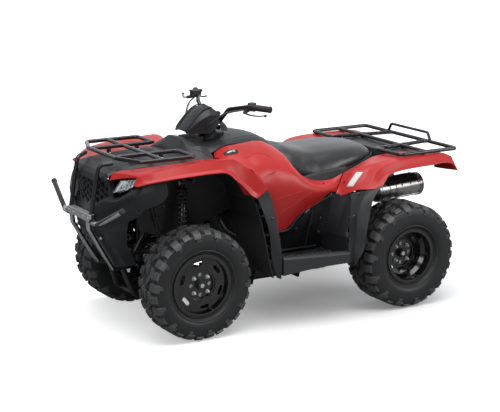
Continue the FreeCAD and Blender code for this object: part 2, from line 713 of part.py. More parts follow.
def make_frame():
    rail_y, rail_z = size("rail_half_width"), size("rail_height")
    radius, slim = size("rail_radius"), size("tube_radius")
    tower, seat_rail = size("tower_height"), size("seat_rail_height")
    arm_z = FRONT_Z + 118
    lower = tube([
        Vector(front(262), rail_y - 22, 336), Vector(front(205), rail_y, rail_z + 10),
        Vector(front(135), rail_y, rail_z), Vector(rear(400), rail_y, rail_z),
        Vector(rear(330), rail_y, seat_rail - 6)], radius, 40)
    upper = tube([
        Vector(front(256), rail_y - 18, 326), Vector(front(230), rail_y, arm_z),
        Vector(front(20), rail_y, arm_z), Vector(front(-60), rail_y, tower),
        Vector(middle(0.3), rail_y, tower - 10), Vector(middle(0.75), rail_y, seat_rail),
        Vector(rear(-60), rail_y, seat_rail), Vector(rear(-300), rail_y, seat_rail + 48)], radius - 1, 40)
    front_leg = bar(Vector(front(200), rail_y, arm_z + 2), Vector(front(-30), rail_y, tower - 4), slim)
    rear_leg = bar(Vector(front(-66), rail_y, tower - 6), Vector(front(-150), rail_y, rail_z + 2), slim - 0.5)
    arm_rail = bar(Vector(front(145), rail_y, arm_z), Vector(front(-142), rail_y, arm_z), radius)
    sides = [lower, upper, front_leg, rear_leg, arm_rail]
    across = [
        (front(260), 331), (front(190), rail_z + 8), (front(-130), rail_z), (middle(0.9), rail_z), (rear(381), 312),
        (rear(-284), seat_rail + 44), (rear(300), seat_rail), (front(-80), tower - 2), (front(200), arm_z),
    ]
    cross = [bar(Vector(x, -rail_y, z), Vector(x, rail_y, z), slim - 1) for x, z in across]
    head = shock_head()
    cross.append(bar(Vector(head.x, -head.y - 20, tower), Vector(head.x, head.y + 20, tower), slim - 1.5))
    low_z, high_z = steer_point(0, 0, 70).z, steer_point(0, 0, 512).z
    low_x, high_x = front(-112), steer_point(0, 0, 512).x
    cross += [
        bar(Vector(low_x, -rail_y, low_z), Vector(low_x, rail_y, low_z), 9),
        bar(Vector(high_x, -rail_y, high_z), Vector(high_x, rail_y, high_z), 9.5),
        bar(Vector(low_x, 0, low_z), steer_point(-18, 0, 70), 8),
    ]
    shape = fused(sides + [other_side(s) for s in sides] + cross + [bearing(70, 26), bearing(512, 26)], 0.005)
    up = steer_point(0, 0, 1) - steer_point(0, 0, 0)
    clear = Part.makeCylinder(size("stem_radius") + size("running_gap"), size("stem_length"),
                              steer_point(0, 0, -20), up)
    feature("frame", shape.cut(clear))


def bearing(along, length):
    """A collar round the steering stem."""
    up = steer_point(0, 0, 1) - steer_point(0, 0, 0)
    return Part.makeCylinder(size("stem_radius") + 10, length, steer_point(0, 0, along - length / 2), up)


def make_engine():
    """Engine as one plain block with its cylinder and side case, on bound primitives."""
    base_z = size("rail_height") + size("rail_radius") + GAP
    case = primitive("Box", "engine_case", Vector(0, 0, 0),
                     Length="Sizes.engine_length", Width="Sizes.engine_width", Height="Sizes.engine_height")
    case.Placement.Base = Vector(middle(0.5) - size("engine_length") / 2, -size("engine_width") / 2, base_z)
    barrel = primitive("Cylinder", "engine_barrel", Vector(middle(0.2), 0, base_z + size("engine_height") - 40),
                       Vector(0.35, 0, 1), Radius="Sizes.engine_width / 4")
    barrel.Height = 190
    cover = primitive("Cylinder", "engine_cover",
                      Vector(middle(0.3), -size("engine_width") / 2 - 34, base_z + 130), Vector(0, 1, 0),
                      Height="Sizes.engine_width + 68")
    cover.Radius = 100
    combine("MultiFuse", "engine", [case, barrel, cover])


def make_swingarm():
    """Swingarm with the axle's housing, its bearings, the final drive case and the hitch plate."""
    pivot = Vector(rear(348.2), 0, 312)
    housing_half = REAR_DISC_Y - 60 - 14
    inner = size("rear_axle_radius") + size("running_gap")
    housing = Part.makeCylinder(size("axle_housing_radius"), 2 * housing_half,
                                Vector(REAR_X, -housing_half, REAR_Z), Vector(0, 1, 0))
    case = Part.makeCylinder(96, 90, Vector(REAR_X, -150, REAR_Z), Vector(0, 1, 0))
    arms = [tube([Vector(pivot.x, y, pivot.z), Vector(rear(150), y, REAR_Z + 6), Vector(REAR_X, y * 1.2, REAR_Z)], 20, 40)
            for y in (118, -118)]
    cross = bar(Vector(pivot.x, -130, pivot.z), Vector(pivot.x, 130, pivot.z), 16)
    hitch_x = rear(-128)
    plate = Part.makeBox(96, 70, size("hitch_plate"), Vector(hitch_x - 28, -35, size("hitch_height") - size("hitch_plate")))
    web = Part.makeBox(60, 30, 40, Vector(rear(-82), -15, size("hitch_height") - 30))
    lug_pieces = []
    for y in (200, -200):
        lug_pieces.append(Part.makeBox(60, 24, 30, Vector(rear(8), y - 12, REAR_Z + 12)))
    shape = fused([housing, case, cross, plate, web] + arms + lug_pieces)
    bore = Part.makeCylinder(inner, 2 * housing_half + 40, Vector(REAR_X, -housing_half - 20, REAR_Z), Vector(0, 1, 0))
    hole = Part.makeCylinder(size("hitch_hole_radius"), 60, Vector(hitch_x - 8, 0, size("hitch_height") - 40))
    feature("swingarm", shape.cut(Part.makeCompound([bore, hole])))


def make_rear_shocks():
    foot = Vector(rear(48), 200, REAR_Z + 42 + GAP)
    head = Vector(rear(96), 150, size("seat_rail_height") - 6)
    one = shock(foot, head, 0.22, 0.9)
    floor = Part.makeBox(200, 200, 80, Vector(foot.x - 100, 100, foot.z - 80))
    one = one.cut(floor)
    pad = bar(Vector(head.x, head.y, head.z), Vector(head.x, size("rail_half_width") + size("rail_radius") + GAP, head.z), 12)
    one = fused([one, pad])
    feature("rear_shocks", both_sides(one))


def make_exhaust():
    """Canister with a tapered nose, tail spout and the pipe that feeds it."""
    side, high = size("muffler_side"), size("muffler_height")
    radius, length = size("muffler_radius"), size("muffler_length")
    nose = Vector(rear(32), side, high - 8)
    axis = Vector(-1, 0, 0.05).normalize()
    canister = Part.makeCylinder(radius, length, nose, axis)
    cone = Part.makeCone(size("pipe_radius") + 12, radius, 70, nose - axis * 69.5, axis)
    spout = Part.makeCylinder(16, 30, nose + axis * (length - 2) + Vector(0, 0, 18), axis)
    bands = [Part.makeCylinder(radius + 3, 12, nose + axis * d, axis) for d in (14, 120, length - 22)]
    pipe = tube([
        nose - axis * 60, nose - axis * 140, Vector(rear(345), 175, 575), Vector(middle(0.35), 190, 560)],
        size("pipe_radius"), 60)
    hanger = [
        Part.makeBox(36, 120, 8, Vector(rear(-120), size("rail_half_width"), high + 88)),
        Part.makeBox(36, 8, 48, Vector(rear(-120), size("rail_half_width") + 112, high + 48)),
    ]
    feature("exhaust", fused([canister, cone, spout, pipe] + bands + hanger).cut(shape_of("frame")))


# Bodywork


def front_fender_rows():
    """Outer face of the left front fender: brow over the lamp, crest, knee and the fall to the flap."""
    top, out = size("fender_height"), size("front_half_width")
    rows = [
        [(386, 206, -91), (335, 285, -70), (297, out - 175, -63), (314, out - 173, -99), (298, out - 141, -94),
         (284, out - 112, -87)],
        [(365, 206, -54), (322, 290, -51), (296, out - 172, -58), (288, out - 162, -57), (270, out - 135, -61),
         (258, out - 100, -73)],
        [(330, 206, -48), (292, 285, -45), (262, out - 146, -40), (247, out - 122, -32), (240, out - 101, -67),
         (228, out - 75, -76)],
        [(238, 210, -46), (220, 300, -39), (200, out - 148, -33), (196, out - 122, -27), (192, out - 95, -67),
         (188, out - 69, -74)],
        [(124, 228, -39), (128, 310, -33), (135, out - 146, -29), (137, out - 117, -24), (134, out - 91, -64),
         (130, out - 67, -70)],
        [(-5, 236, -36), (10, 320, -28), (28, out - 142, -20), (31, out - 113, -14), (28, out - 88, -58),
         (24, out - 64, -64)],
        [(-90, 240, -30), (-88, 325, -20), (-82, out - 138, -12), (-81, out - 106, -6), (-82, out - 84, -51),
         (-84, out - 61, -58)],
        [(-140, 242, -28), (-146, 327, -16), (-160, out - 136, -7), (-166, out - 105, 0), (-172, out - 82, -56),
         (-160, out - 59, -67)],
        [(-176, 244, -28), (-184, 328, -17), (-200, out - 132, -8), (-205, out - 100, 0), (-196, out - 81, -62),
         (-180, out - 58, -79)],
        [(-205, 250, -31), (-214, 335, -24), (-226, out - 126, -16), (-230, out - 93, -9), (-213, out - 78, -76),
         (-194, out - 57, -92)],
        [(-250, 330, -50), (-258, 372, -46), (-266, out - 118, -44), (-270, out - 87, -42), (-248, out - 75, -107),
         (-226, out - 56, -121)],
        [(-314, 376, -86), (-315, 398, -82), (-315, out - 104, -77), (-313, out - 79, -72), (-294, out - 70, -155),
         (-276, out - 55, -165)],
        [(-368, 412, -143), (-369, 424, -141), (-370, out - 89, -138), (-368, out - 69, -135), (-336, out - 65, -190),
         (-318, out - 53, -202)],
        [(-402, 438, -184), (-401, 443, -182), (-401, out - 73, -180), (-400, out - 60, -178), (-366, out - 58, -197),
         (-334, out - 55, -215)],
    ]
    return [[Vector(front(x), y, top + z) for x, y, z in row] for row in rows]


def make_front_fenders():
    skin = panel(front_fender_rows(), WALL, 1)
    feature("front_fender_left", skin)
    feature("front_fender_right", other_side(skin))


def make_top_cover():
    """Black cover between the front fenders, with the raised hump ahead of the bar."""
    top = size("fender_height")
    stations = [
        (front(404), [(0, -85), (120, -85), (188, -88), (202, -92)]),
        (front(388), [(0, -60), (120, -61), (186, -62), (203, -74)]),
        (front(350), [(0, -34), (120, -36), (186, -42), (203, -54)]),
        (front(238), [(0, -22), (120, -24), (188, -32), (205, -46)]),
        (front(124), [(0, -20), (120, -22), (205, -28), (223, -40)]),
        (front(-5), [(0, -20), (120, -22), (212, -26), (231, -38)]),
        (front(-58), [(0, -16), (120, -18), (215, -24), (234, -36)]),
        (front(-98), [(0, 72), (66, 72), (150, 28), (236, -30)]),
        (front(-150), [(0, 64), (90, 62), (184, 50), (238, -27)]),
        (front(-205), [(0, 40), (90, 40), (170, 34), (242, -28)]),
    ]
    rows = []
    for x, pairs in stations:
        right = [(-y, z) for y, z in reversed(pairs) if y > 0]
        rows.append(station(x, [(y, top + z) for y, z in right + pairs]))
    skin = panel(rows, WALL, 1)
    up = steer_point(0, 0, 1) - steer_point(0, 0, 0)
    hole = Part.makeCylinder(size("stem_radius") + 20, 900, steer_point(0, 0, 100), up)
    feature("front_top_cover", skin.cut(hole))


def tank_rows():
    top, half = size("tank_height"), size("cover_half_width")
    stations = [
        (front(-212), -32, -40, half - 16, -72), (front(-300), -22, -28, half - 10, -34),
        (front(-400), -4, -12, half, -28), (middle(0.314), 0, -10, half, -27),
        (middle(0.42), -14, -26, half, -50), (middle(0.52), -48, -60, half - 2, -98),
        (middle(0.585), -78, -88, half - 6, -128),
    ]
    rows = []
    for x, crown, shoulder, wide, edge in stations:
        pairs = [(0, crown), (wide * 0.55, shoulder + 4), (wide * 0.86, (shoulder + edge) / 2 + 4), (wide, edge)]
        right = [(-y, z) for y, z in reversed(pairs) if y > 0]
        rows.append(station(x, [(y, top + z) for y, z in right + pairs]))
    return rows


def make_tank_cover():
    up = steer_point(0, 0, 1) - steer_point(0, 0, 0)
    hole = Part.makeCylinder(size("stem_radius") + 20, 900, steer_point(0, 0, 100), up)
    feature("tank_cover", panel(tank_rows(), WALL, 1).cut(hole))


def side_cover_rows():
    """Outer face of the left side cover: from the tank's edge down to the footwell."""
    half = size("cover_half_width") + GAP
    top = size("tank_height")
    stations = [
        (front(-330), [(half - 6, -36), (262, -55), (335, -87), (392, -117), (422, -132)]),
        (front(-400), [(half, -29), (280, -46), (380, -113), (420, -185), (430, -226)]),
        (front(-450), [(half, -26), (284, -49), (392, -133), (424, -245), (408, -345)]),
        (middle(0.314), [(half, -28), (286, -56), (402, -156), (424, -285), (384, -485)]),
        (middle(0.42), [(half, -51), (291, -80), (402, -176), (421, -305), (366, -493)]),
        (middle(0.53), [(half + 3, -87), (296, -107), (402, -190), (421, -304), (368, -455)]),
        (middle(0.58), [(216, -143), (300, -147), (400, -204), (420, -305), (370, -429)]),
        (middle(0.744), [(254, -222), (310, -233), (392, -255), (408, -305), (370, -393)]),
        (middle(0.854), [(270, -256), (320, -263), (385, -277), (396, -315), (368, -369)]),
        (rear(387), [(308, -264), (332, -273), (352, -287), (362, -301), (364, -319)]),
    ]
    rows = [station(x, [(y, top + z) for y, z in pairs]) for x, pairs in stations]
    seam = [(310, 326, -233), (326, 334, -255), (344, 345, -282), (360, 354, -305), (372, 361, -325)]
    return rows + [[Vector(rear(x), y, top + z) for x, y, z in seam]]


def make_side_covers():
    skin = panel(side_cover_rows(), WALL, 1)
    feature("side_cover_left", skin)
    feature("side_cover_right", other_side(skin))


def seat_sections():
    """Closed sections of the seat: flat underside, padded sides that fall outward, and the crown."""
    base = size("seat_height")
    stations = [
        (rear(620), 73, (200, 18), (186, 48), (122, 68)), (rear(572), 68, (243, -67), (230, -20), (188, 36)),
        (rear(512), 54, (258, -94), (250, -47), (200, 18)), (rear(422), 36, (270, -105), (262, -57), (215, 3)),
        (rear(322), 40, (272, -96), (264, -47), (220, 6)), (rear(237), 43, (260, -76), (256, -35), (215, 10)),
        (rear(107), 39, (235, -48), (230, -20), (192, 13)), (rear(17), 25, (188, -28), (184, -12), (150, 8)),
        (rear(-26), 2, (130, -26), (124, -17), (100, -6)),
    ]
    sections = []
    for x, crown, edge, bulge, shoulder in stations:
        pairs = [(0, edge[1] - 3), (edge[0] - 14, edge[1] - 3), edge, bulge, shoulder,
                 (shoulder[0] * 0.6, crown - 6), (0, crown)]
        sections.append(whole_station(x, [(y, base + z) for y, z in pairs]))
    return sections


def make_seat():
    feature("seat", block(seat_sections()))


def rear_fender_rows():
    """Outer face of the left rear fender: its front face, crest and the tail that turns down."""
    top, out = size("rear_fender_height"), size("rear_half_width")
    rows = [
        [(376, 364, -168), (357, 388, -181), (306, 470, -137), (283, out - 85, -131), (240, out - 68, -118),
         (201, out - 52, -105)],
        [(341, 346, -120), (324, 392, -112), (259, 460, -91), (235, out - 100, -86), (205, out - 78, -104),
         (180, out - 48, -102)],
        [(305, 330, -69), (286, 392, -60), (219, 448, -58), (201, out - 112, -59), (176, out - 78, -86),
         (160, out - 52, -96)],
        [(225, 292, -58), (212, 392, -29), (183, 440, -27), (159, out - 124, -23), (148, out - 85, -74),
         (144, out - 60, -90)],
        [(156, 292, -31), (147, 380, -12), (135, 432, -9), (113, out - 124, -19), (107, out - 92, -64),
         (110, out - 68, -84)],
        [(101, 292, -11), (87, 370, -2), (65, 428, 0), (66, out - 124, -16), (67, out - 95, -56), (72, out - 71, -78)],
        [(7, 292, 1), (4, 365, 5), (-4, 428, -1), (2, out - 124, -13), (4, out - 98, -49), (7, out - 74, -70)],
        [(-68, 292, 4), (-71, 365, 7), (-71, 430, 1), (-71, out - 124, -10), (-68, out - 100, -41), (-63, out - 77, -63)],
        [(-178, 292, -2), (-178, 370, 4), (-177, 432, 2), (-176, out - 126, -8), (-173, out - 100, -35),
         (-168, out - 78, -55)],
        [(-283, 292, -6), (-283, 370, 2), (-283, 430, 2), (-283, out - 128, -7), (-283, out - 102, -36),
         (-278, out - 82, -52)],
        [(-318, 292, -16), (-320, 370, -8), (-320, 430, -4), (-328, out - 130, -12), (-324, out - 102, -44),
         (-316, out - 84, -58)],
        [(-348, 292, -54), (-350, 370, -52), (-352, 430, -48), (-354, out - 126, -54), (-350, out - 100, -72),
         (-340, out - 86, -79)],
        [(-354, 292, -112), (-356, 370, -107), (-360, 430, -102), (-362, out - 120, -98), (-362, out - 100, -97),
         (-353, out - 88, -95)],
    ]
    return [[Vector(rear(x), y, top + z) for x, y, z in row] for row in rows]


def make_rear_fenders():
    skin = panel(rear_fender_rows(), WALL, 1)
    feature("rear_fender_left", skin)
    feature("rear_fender_right", other_side(skin))


def make_rear_cover():
    """Black cover between the rear fenders: a trough under the seat's tail and the deck behind it."""
    top = size("rear_fender_height")
    edge = 292 - size("panel_gap")
    stations = [
        (rear(247), -74, -62), (rear(156), -62, -34), (rear(72), -44, -8), (rear(-26), -41, 0), (rear(-40), 4, 3),
        (rear(-106), 4, 2), (rear(-271), 0, -6), (rear(-318), -54, -16),
    ]
    rows = []
    for x, centre, side in stations:
        pairs = [(0, centre), (150, centre), (262, centre), (edge, side)]
        right = [(-y, z) for y, z in reversed(pairs) if y > 0]
        rows.append(station(x, [(y, top + z) for y, z in right + pairs]))
    feature("rear_center_cover", panel(rows, WALL, 1))


def make_mudguards():
    """Black guards that close the wheel arches behind the front wheels."""
    top, foot = size("fender_height"), size("flap_foot")
    out = size("front_half_width")
    stations = [
        (-175, top - 55, 150, 112), (-228, top - 85, 150, 112), (-276, top - 137, 150, 106), (-306, top - 190, 150, 92),
        (-324, top - 240, 150, 66), (-345, 600, 160, 46), (-362, 500, 180, 30), (-380, 375, 196, 16),
        (-402, foot + 8, 204, 8),
    ]
    rows = [[Vector(front(x), y, z) for y in (inner, 260, 350, out - inset)] for x, z, inner, inset in stations]
    skin = panel(rows, WALL, -1)
    inner = [
        [Vector(front(x), 164, z) for x, z in ((-177, top - 57), (-60, top - 50), (60, top - 50), (200, top - 62))],
        [Vector(front(x), 164, z) for x, z in ((-308, top - 190), (-60, 700), (60, 700), (225, 700))],
        [Vector(front(x), 164, z) for x, z in ((-338, 640), (-60, 580), (60, 560), (215, 600))],
        [Vector(front(x), 164, z) for x, z in ((-348, 600), (-60, 500), (60, 490), (200, 540))],
    ]
    liner = panel(inner, WALL, -1)
    head = shock_head()
    ways = [
        Part.makeCylinder(15, 60, Vector(head.x, 120, size("tower_height")), Vector(0, 1, 0)),
        Part.makeCylinder(10, 60, Vector(front(180), 120, top - 84), Vector(0, 1, 0)),
        Part.makeCylinder(10, 60, Vector(front(-62), 120, size("tower_height") - 5), Vector(0, 1, 0)),
    ]
    liner = liner.cut(Part.makeCompound(ways))
    feature("mudguards", both_sides(fused([skin, liner])))


def make_fender_flaps():
    """Grey flaps that edge the wheel arches: one behind each front wheel, one ahead of each rear wheel."""
    out, foot, top = size("front_half_width"), size("flap_foot"), size("fender_height")
    ahead = [
        [(-335, out - 53, top - 217), (-367, out - 56, top - 199), (-401, out - 59, top - 180), (-408, out - 84, top - 184)],
        [(-352, out - 35, 650), (-390, out - 38, 656), (-423, out - 42, 660), (-430, out - 66, 656)],
        [(-382, out - 18, 540), (-414, out - 20, 542), (-442, out - 26, 545), (-449, out - 50, 542)],
        [(-396, out - 7, 375), (-428, out - 5, 376), (-454, out - 5, 378), (-460, out - 30, 376)],
        [(-420, out, foot + 8), (-434, out + 3, foot + 3), (-444, out + 5, foot), (-450, out - 20, foot + 2)],
    ]
    out, top = size("rear_half_width"), size("rear_fender_height")
    behind = [
        [(358, 480, top - 152), (320, 500, top - 143), (281, out - 86, top - 137), (238, out - 70, top - 124),
         (201, out - 54, top - 111)],
        [(372, 504, 616), (346, 516, 624), (320, out - 74, 630), (298, out - 56, 636), (277, out - 29, 643)],
        [(392, 522, 548), (374, 530, 556), (352, out - 60, 564), (328, out - 40, 567), (305, out - 15, 569)],
        [(407, 540, 465), (390, 546, 468), (368, out - 51, 472), (350, out - 28, 475), (331, out - 4, 477)],
        [(424, 560, 385), (404, 560, 388), (382, out - 43, 390), (366, out - 22, 390), (349, out, 389)],
        [(426, 566, 326), (412, 568, 318), (396, out - 30, 308), (400, out - 22, 303), (405, out - 15, 300)],
    ]
    flaps = [
        panel([[Vector(front(x), y, z) for x, y, z in row] for row in ahead], WALL, -1),
        panel([[Vector(rear(x), y, z) for x, y, z in row] for row in behind], WALL, -1),
    ]
    feature("fender_flaps", Part.makeCompound(flaps + [other_side(f) for f in flaps]))


def make_footwell(name, side):
    """Floor with its outer rail and peg, and the inner and rear walls."""
    floor, thick = size("floor_height"), size("floor_thickness")
    foot = size("flap_foot")
    ahead, behind = size("front_half_width"), size("rear_half_width") - 13
    inner_y = 212
    slab = block([
        [Vector(front(-398), y, z) for y, z in
         ((inner_y, floor), (ahead - 40, floor), (ahead - 40, floor - thick), (inner_y, floor - thick))],
        [Vector(rear(403), y, z) for y, z in
         ((inner_y, floor), (behind - 40, floor), (behind - 40, floor - thick), (inner_y, floor - thick))],
    ])
    rail = block([
        [Vector(front(-462), y, z) for y, z in
         ((ahead - 46, 384), (ahead - 7, 384), (ahead + 2, 374), (ahead, foot + 12), (ahead - 28, foot + 12))],
        [Vector(middle(0.6), y, z) for y, z in
         ((508, 381), (behind - 39, 381), (behind - 31, 371), (behind - 33, foot + 37), (behind - 59, foot + 35))],
        [Vector(rear(430), y, z) for y, z in
         ((behind - 47, 378), (behind - 8, 378), (behind - 1, 369), (behind - 2, foot + 46), (behind - 31, foot + 44))],
    ])
    peg = Part.makeBox(70, ahead - inner_y - 70, 14, Vector(middle(0.42), inner_y + 20, floor - 2))
    cleats = [Part.makeBox(10, ahead - inner_y - 90, 12, Vector(middle(0.42) + 6 + 24 * i, inner_y + 30, floor + 8))
              for i in range(3)]
    low = floor - thick / 2
    wall_rows = [
        [Vector(middle(0.5), 262, low), Vector(middle(0.52), 285, 440), Vector(middle(0.56), 330, 496)],
        [Vector(middle(0.744), 262, low), Vector(middle(0.744), 300, 440), Vector(middle(0.744), 356, 572)],
        [Vector(middle(0.9), 262, low), Vector(middle(0.9), 304, 440), Vector(middle(0.9), 352, 612)],
        [Vector(rear(408), 262, low), Vector(rear(408), 304, 440), Vector(rear(398), 352, 634)],
    ]
    rear_rows = [
        [Vector(rear(406), 262, low), Vector(rear(418), 400, low), Vector(rear(432), behind - 30, 362)],
        [Vector(rear(406), 303, 440), Vector(rear(412), 420, 440), Vector(rear(420), 536, 452)],
        [Vector(rear(396), 351, 634), Vector(rear(374), 420, 650), Vector(rear(364), 474, 662)],
    ]
    shape = fused([slab, rail, peg, panel(wall_rows, WALL, -1), panel(rear_rows, WALL, 1)] + cleats)
    feature("footwell_" + name, shape if side > 0 else other_side(shape))


# Nose, lamps and guard


def make_grille():
    """Grille plate with a field of six-sided holes, and its lower lip."""
    top = size("fender_height")
    low, high = 655, top - 95
    across = ((-188, 26), (-100, 5), (0, 0), (100, 5), (188, 26))
    levels = [(398, high), (402, high - 42), (412, low + 48), (432, low)]
    rows = [[Vector(front(x - back), y, z) for y, back in across] for x, z in levels]
    plate = panel(rows, 6, -1)
    holes = []
    pitch = 34
    for i in range(-5, 6):
        for j in range(4):
            y = i * pitch
            z = low + 46 + j * pitch + (pitch / 2 if i % 2 else 0)
            if abs(y) < 176 and z < high - 16:
                holes.append(hexagon(front(370), y, z, 15))
    feature("grille", plate.cut(Part.makeCompound(holes)))


def hexagon(x, y, z, radius):
    points = [Vector(x, y + radius * math.cos(math.radians(60 * k)), z + radius * math.sin(math.radians(60 * k)))
              for k in range(6)]
    return polygon(points).extrude(Vector(60, 0, 0))


def make_headlamps():
    """Clear lamp blocks under the fenders' brows."""
    top = size("fender_height")
    face = [
        Vector(front(387), 238, top - 152), Vector(front(350), 270, top - 83), Vector(front(298), 346, top - 70),
        Vector(front(318), 346, top - 107), Vector(front(344), 300, top - 136),
    ]
    back = [p + Vector(-60, -14, 0) for p in face]
    faces = [polygon([face[0], face[1], face[2]]), polygon([face[0], face[2], face[3]]), polygon([face[0], face[3], face[4]])]
    faces += [polygon([back[0], back[1], back[2]]), polygon([back[0], back[2], back[3]]), polygon([back[0], back[3], back[4]])]
    for j in range(5):
        k = (j + 1) % 5
        faces += facets(face[j], face[k], back[k], back[j])
    lamp = closed_solid(faces)
    feature("headlamps", both_sides(lamp))


def make_bumper_wings():
    """Grey guards that wrap round each front corner below the lamps."""
    out = size("front_half_width")
    rows = [
        [(428, 138, 706), (442, 140, 690), (440, 141, 650), (430, 146, 592)],
        [(392, 196, 752), (424, 204, 730), (412, 206, 672), (392, 208, 600)],
        [(362, 262, 757), (392, 276, 738), (378, 276, 690), (338, 262, 618)],
        [(318, 345, 808), (342, 356, 780), (328, 356, 725), (300, 345, 662)],
        [(290, out - 130, 824), (306, out - 122, 795), (300, out - 122, 755), (278, out - 130, 708)],
        [(232, out - 104, 836), (238, out - 96, 800), (234, out - 96, 765), (226, out - 101, 730)],
        [(178, out - 93, 842), (172, out - 87, 815), (172, out - 87, 780), (200, out - 89, 745)],
    ]
    feature("bumper_wings", both_sides(panel([[Vector(front(x), y, z) for x, y, z in row] for row in rows], WALL, 1)))


def make_front_skid():
    """Dark lower cover that narrows down to the frame's nose."""
    stations = [
        (600, 440, 250, 146), (550, 428, 262, 150), (460, 366, 258, 136), (390, 324, 216, 126), (345, 300, 200, 118),
    ]
    rows = []
    for z, ahead, behind, half in stations:
        left = [(ahead, half - 50), (ahead - 40, half), (behind, half)]
        right = [(x, -y) for x, y in reversed(left)]
        rows.append([Vector(front(x), y, z) for x, y in right + left])
    feature("front_skid", panel(rows, WALL + 1, -1))


def make_front_guard():
    """Tubular guard: two uprights, the lower plate, the struts down to the frame and the side horns."""
    radius, half = size("rack_tube_radius"), size("guard_half_width")
    foot, rack_z = size("guard_foot"), size("front_rack_height")
    upright = tube([Vector(front(344), half + 42, rack_z - 2 * radius - GAP), Vector(front(408), half + 6, rack_z - 34),
                    Vector(front(456), half, foot)], radius, 34)
    strut = tube([Vector(front(459), half - 20, foot - 10), Vector(front(452), half - 24, 560),
                  Vector(front(320), 92, 332), Vector(front(262), 80, 330)], radius, 20)
    horn = tube([Vector(front(457), half - 6, foot - 28), Vector(front(457), half + 76, foot - 26),
                 Vector(front(420), 425, foot + 84)], radius + 1, 26)
    plate = block([
        [Vector(front(x), y, z) for x, z in ((444, foot + 6), (size("front_overhang"), foot - 14), (size("front_overhang"), foot - 26), (440, foot - 22))]
        for y in (-half - 14, half + 14)
    ])
    sides = [upright, strut, horn]
    nose = Part.makeCylinder(size("rail_radius") + 1.7, 2 * size("rail_half_width"),
                             Vector(front(262), -size("rail_half_width"), 336), Vector(0, 1, 0))
    shape = fused([plate] + sides + [other_side(s) for s in sides]).cut(nose)
    feature("front_guard", largest(shape.cut(shape_of("frame"))))


def make_front_rack():
    radius, high = size("rack_tube_radius"), size("front_rack_height")
    half, bend = size("front_rack_half_width"), size("rack_bend")
    loop = tube([
        Vector(front(326), 0, high), Vector(front(326), 172, high), Vector(front(262), half - radius, high),
        Vector(front(-42), half - radius, high), Vector(front(-42), 142, high), Vector(front(312), 142, high)],
        radius, bend)
    cross = bar(Vector(front(140), 0, high), Vector(front(140), half - radius, high), radius - 1)
    deck = size("fender_height") - 34
    feet = [Part.makeCylinder(9, high - deck, Vector(front(x), 142, deck)) for x in (56, 222)]
    pieces = [loop, cross] + feet
    shape = fused(pieces + [other_side(p) for p in pieces])
    feature("front_rack", largest(shape.cut(shape_of("front_top_cover"))))


def make_rear_rack():
    radius, high = size("rack_tube_radius"), size("rear_rack_height")
    half, bend = size("rear_rack_half_width"), size("rack_bend")
    tail = radius - size("rear_overhang")
    loop = tube([
        Vector(rear(tail), 0, high), Vector(rear(tail), half, high), Vector(rear(2), half, high),
        Vector(rear(12), 225, high), Vector(rear(tail), 168, high)], radius, bend)
    cross = bar(Vector(rear(-178), 0, high), Vector(rear(-178), half, high), radius - 1)
    rail = tube([Vector(rear(tail), 206, high), Vector(rear(tail), 176, high + 50), Vector(rear(tail), 0, high + 50)], radius - 3, 18)
    deck = size("rear_fender_height") - 6
    feet = [Part.makeCylinder(9, high - deck, Vector(rear(x), y, deck)) for x, y in ((-54, 224), (-200, 199))]
    pieces = [loop, cross, rail] + feet
    shape = fused(pieces + [other_side(p) for p in pieces])
    feature("rear_rack", largest(shape.cut(shape_of("rear_center_cover"))))


def make_tail_lamp():
    shape = Part.makeBox(26, 150, 46, Vector(rear(-346), -75, size("rear_fender_height") - 80))
    feature("tail_lamp", shape)


def post(x, y, z_from, z_to, radius=8):
    return Part.makeCylinder(radius, z_to - z_from, Vector(x, y, z_from))


def cross_post(x, z, y_from, y_to, radius=8):
    return Part.makeCylinder(radius, y_to - y_from, Vector(x, y_from, z), Vector(0, 1, 0))


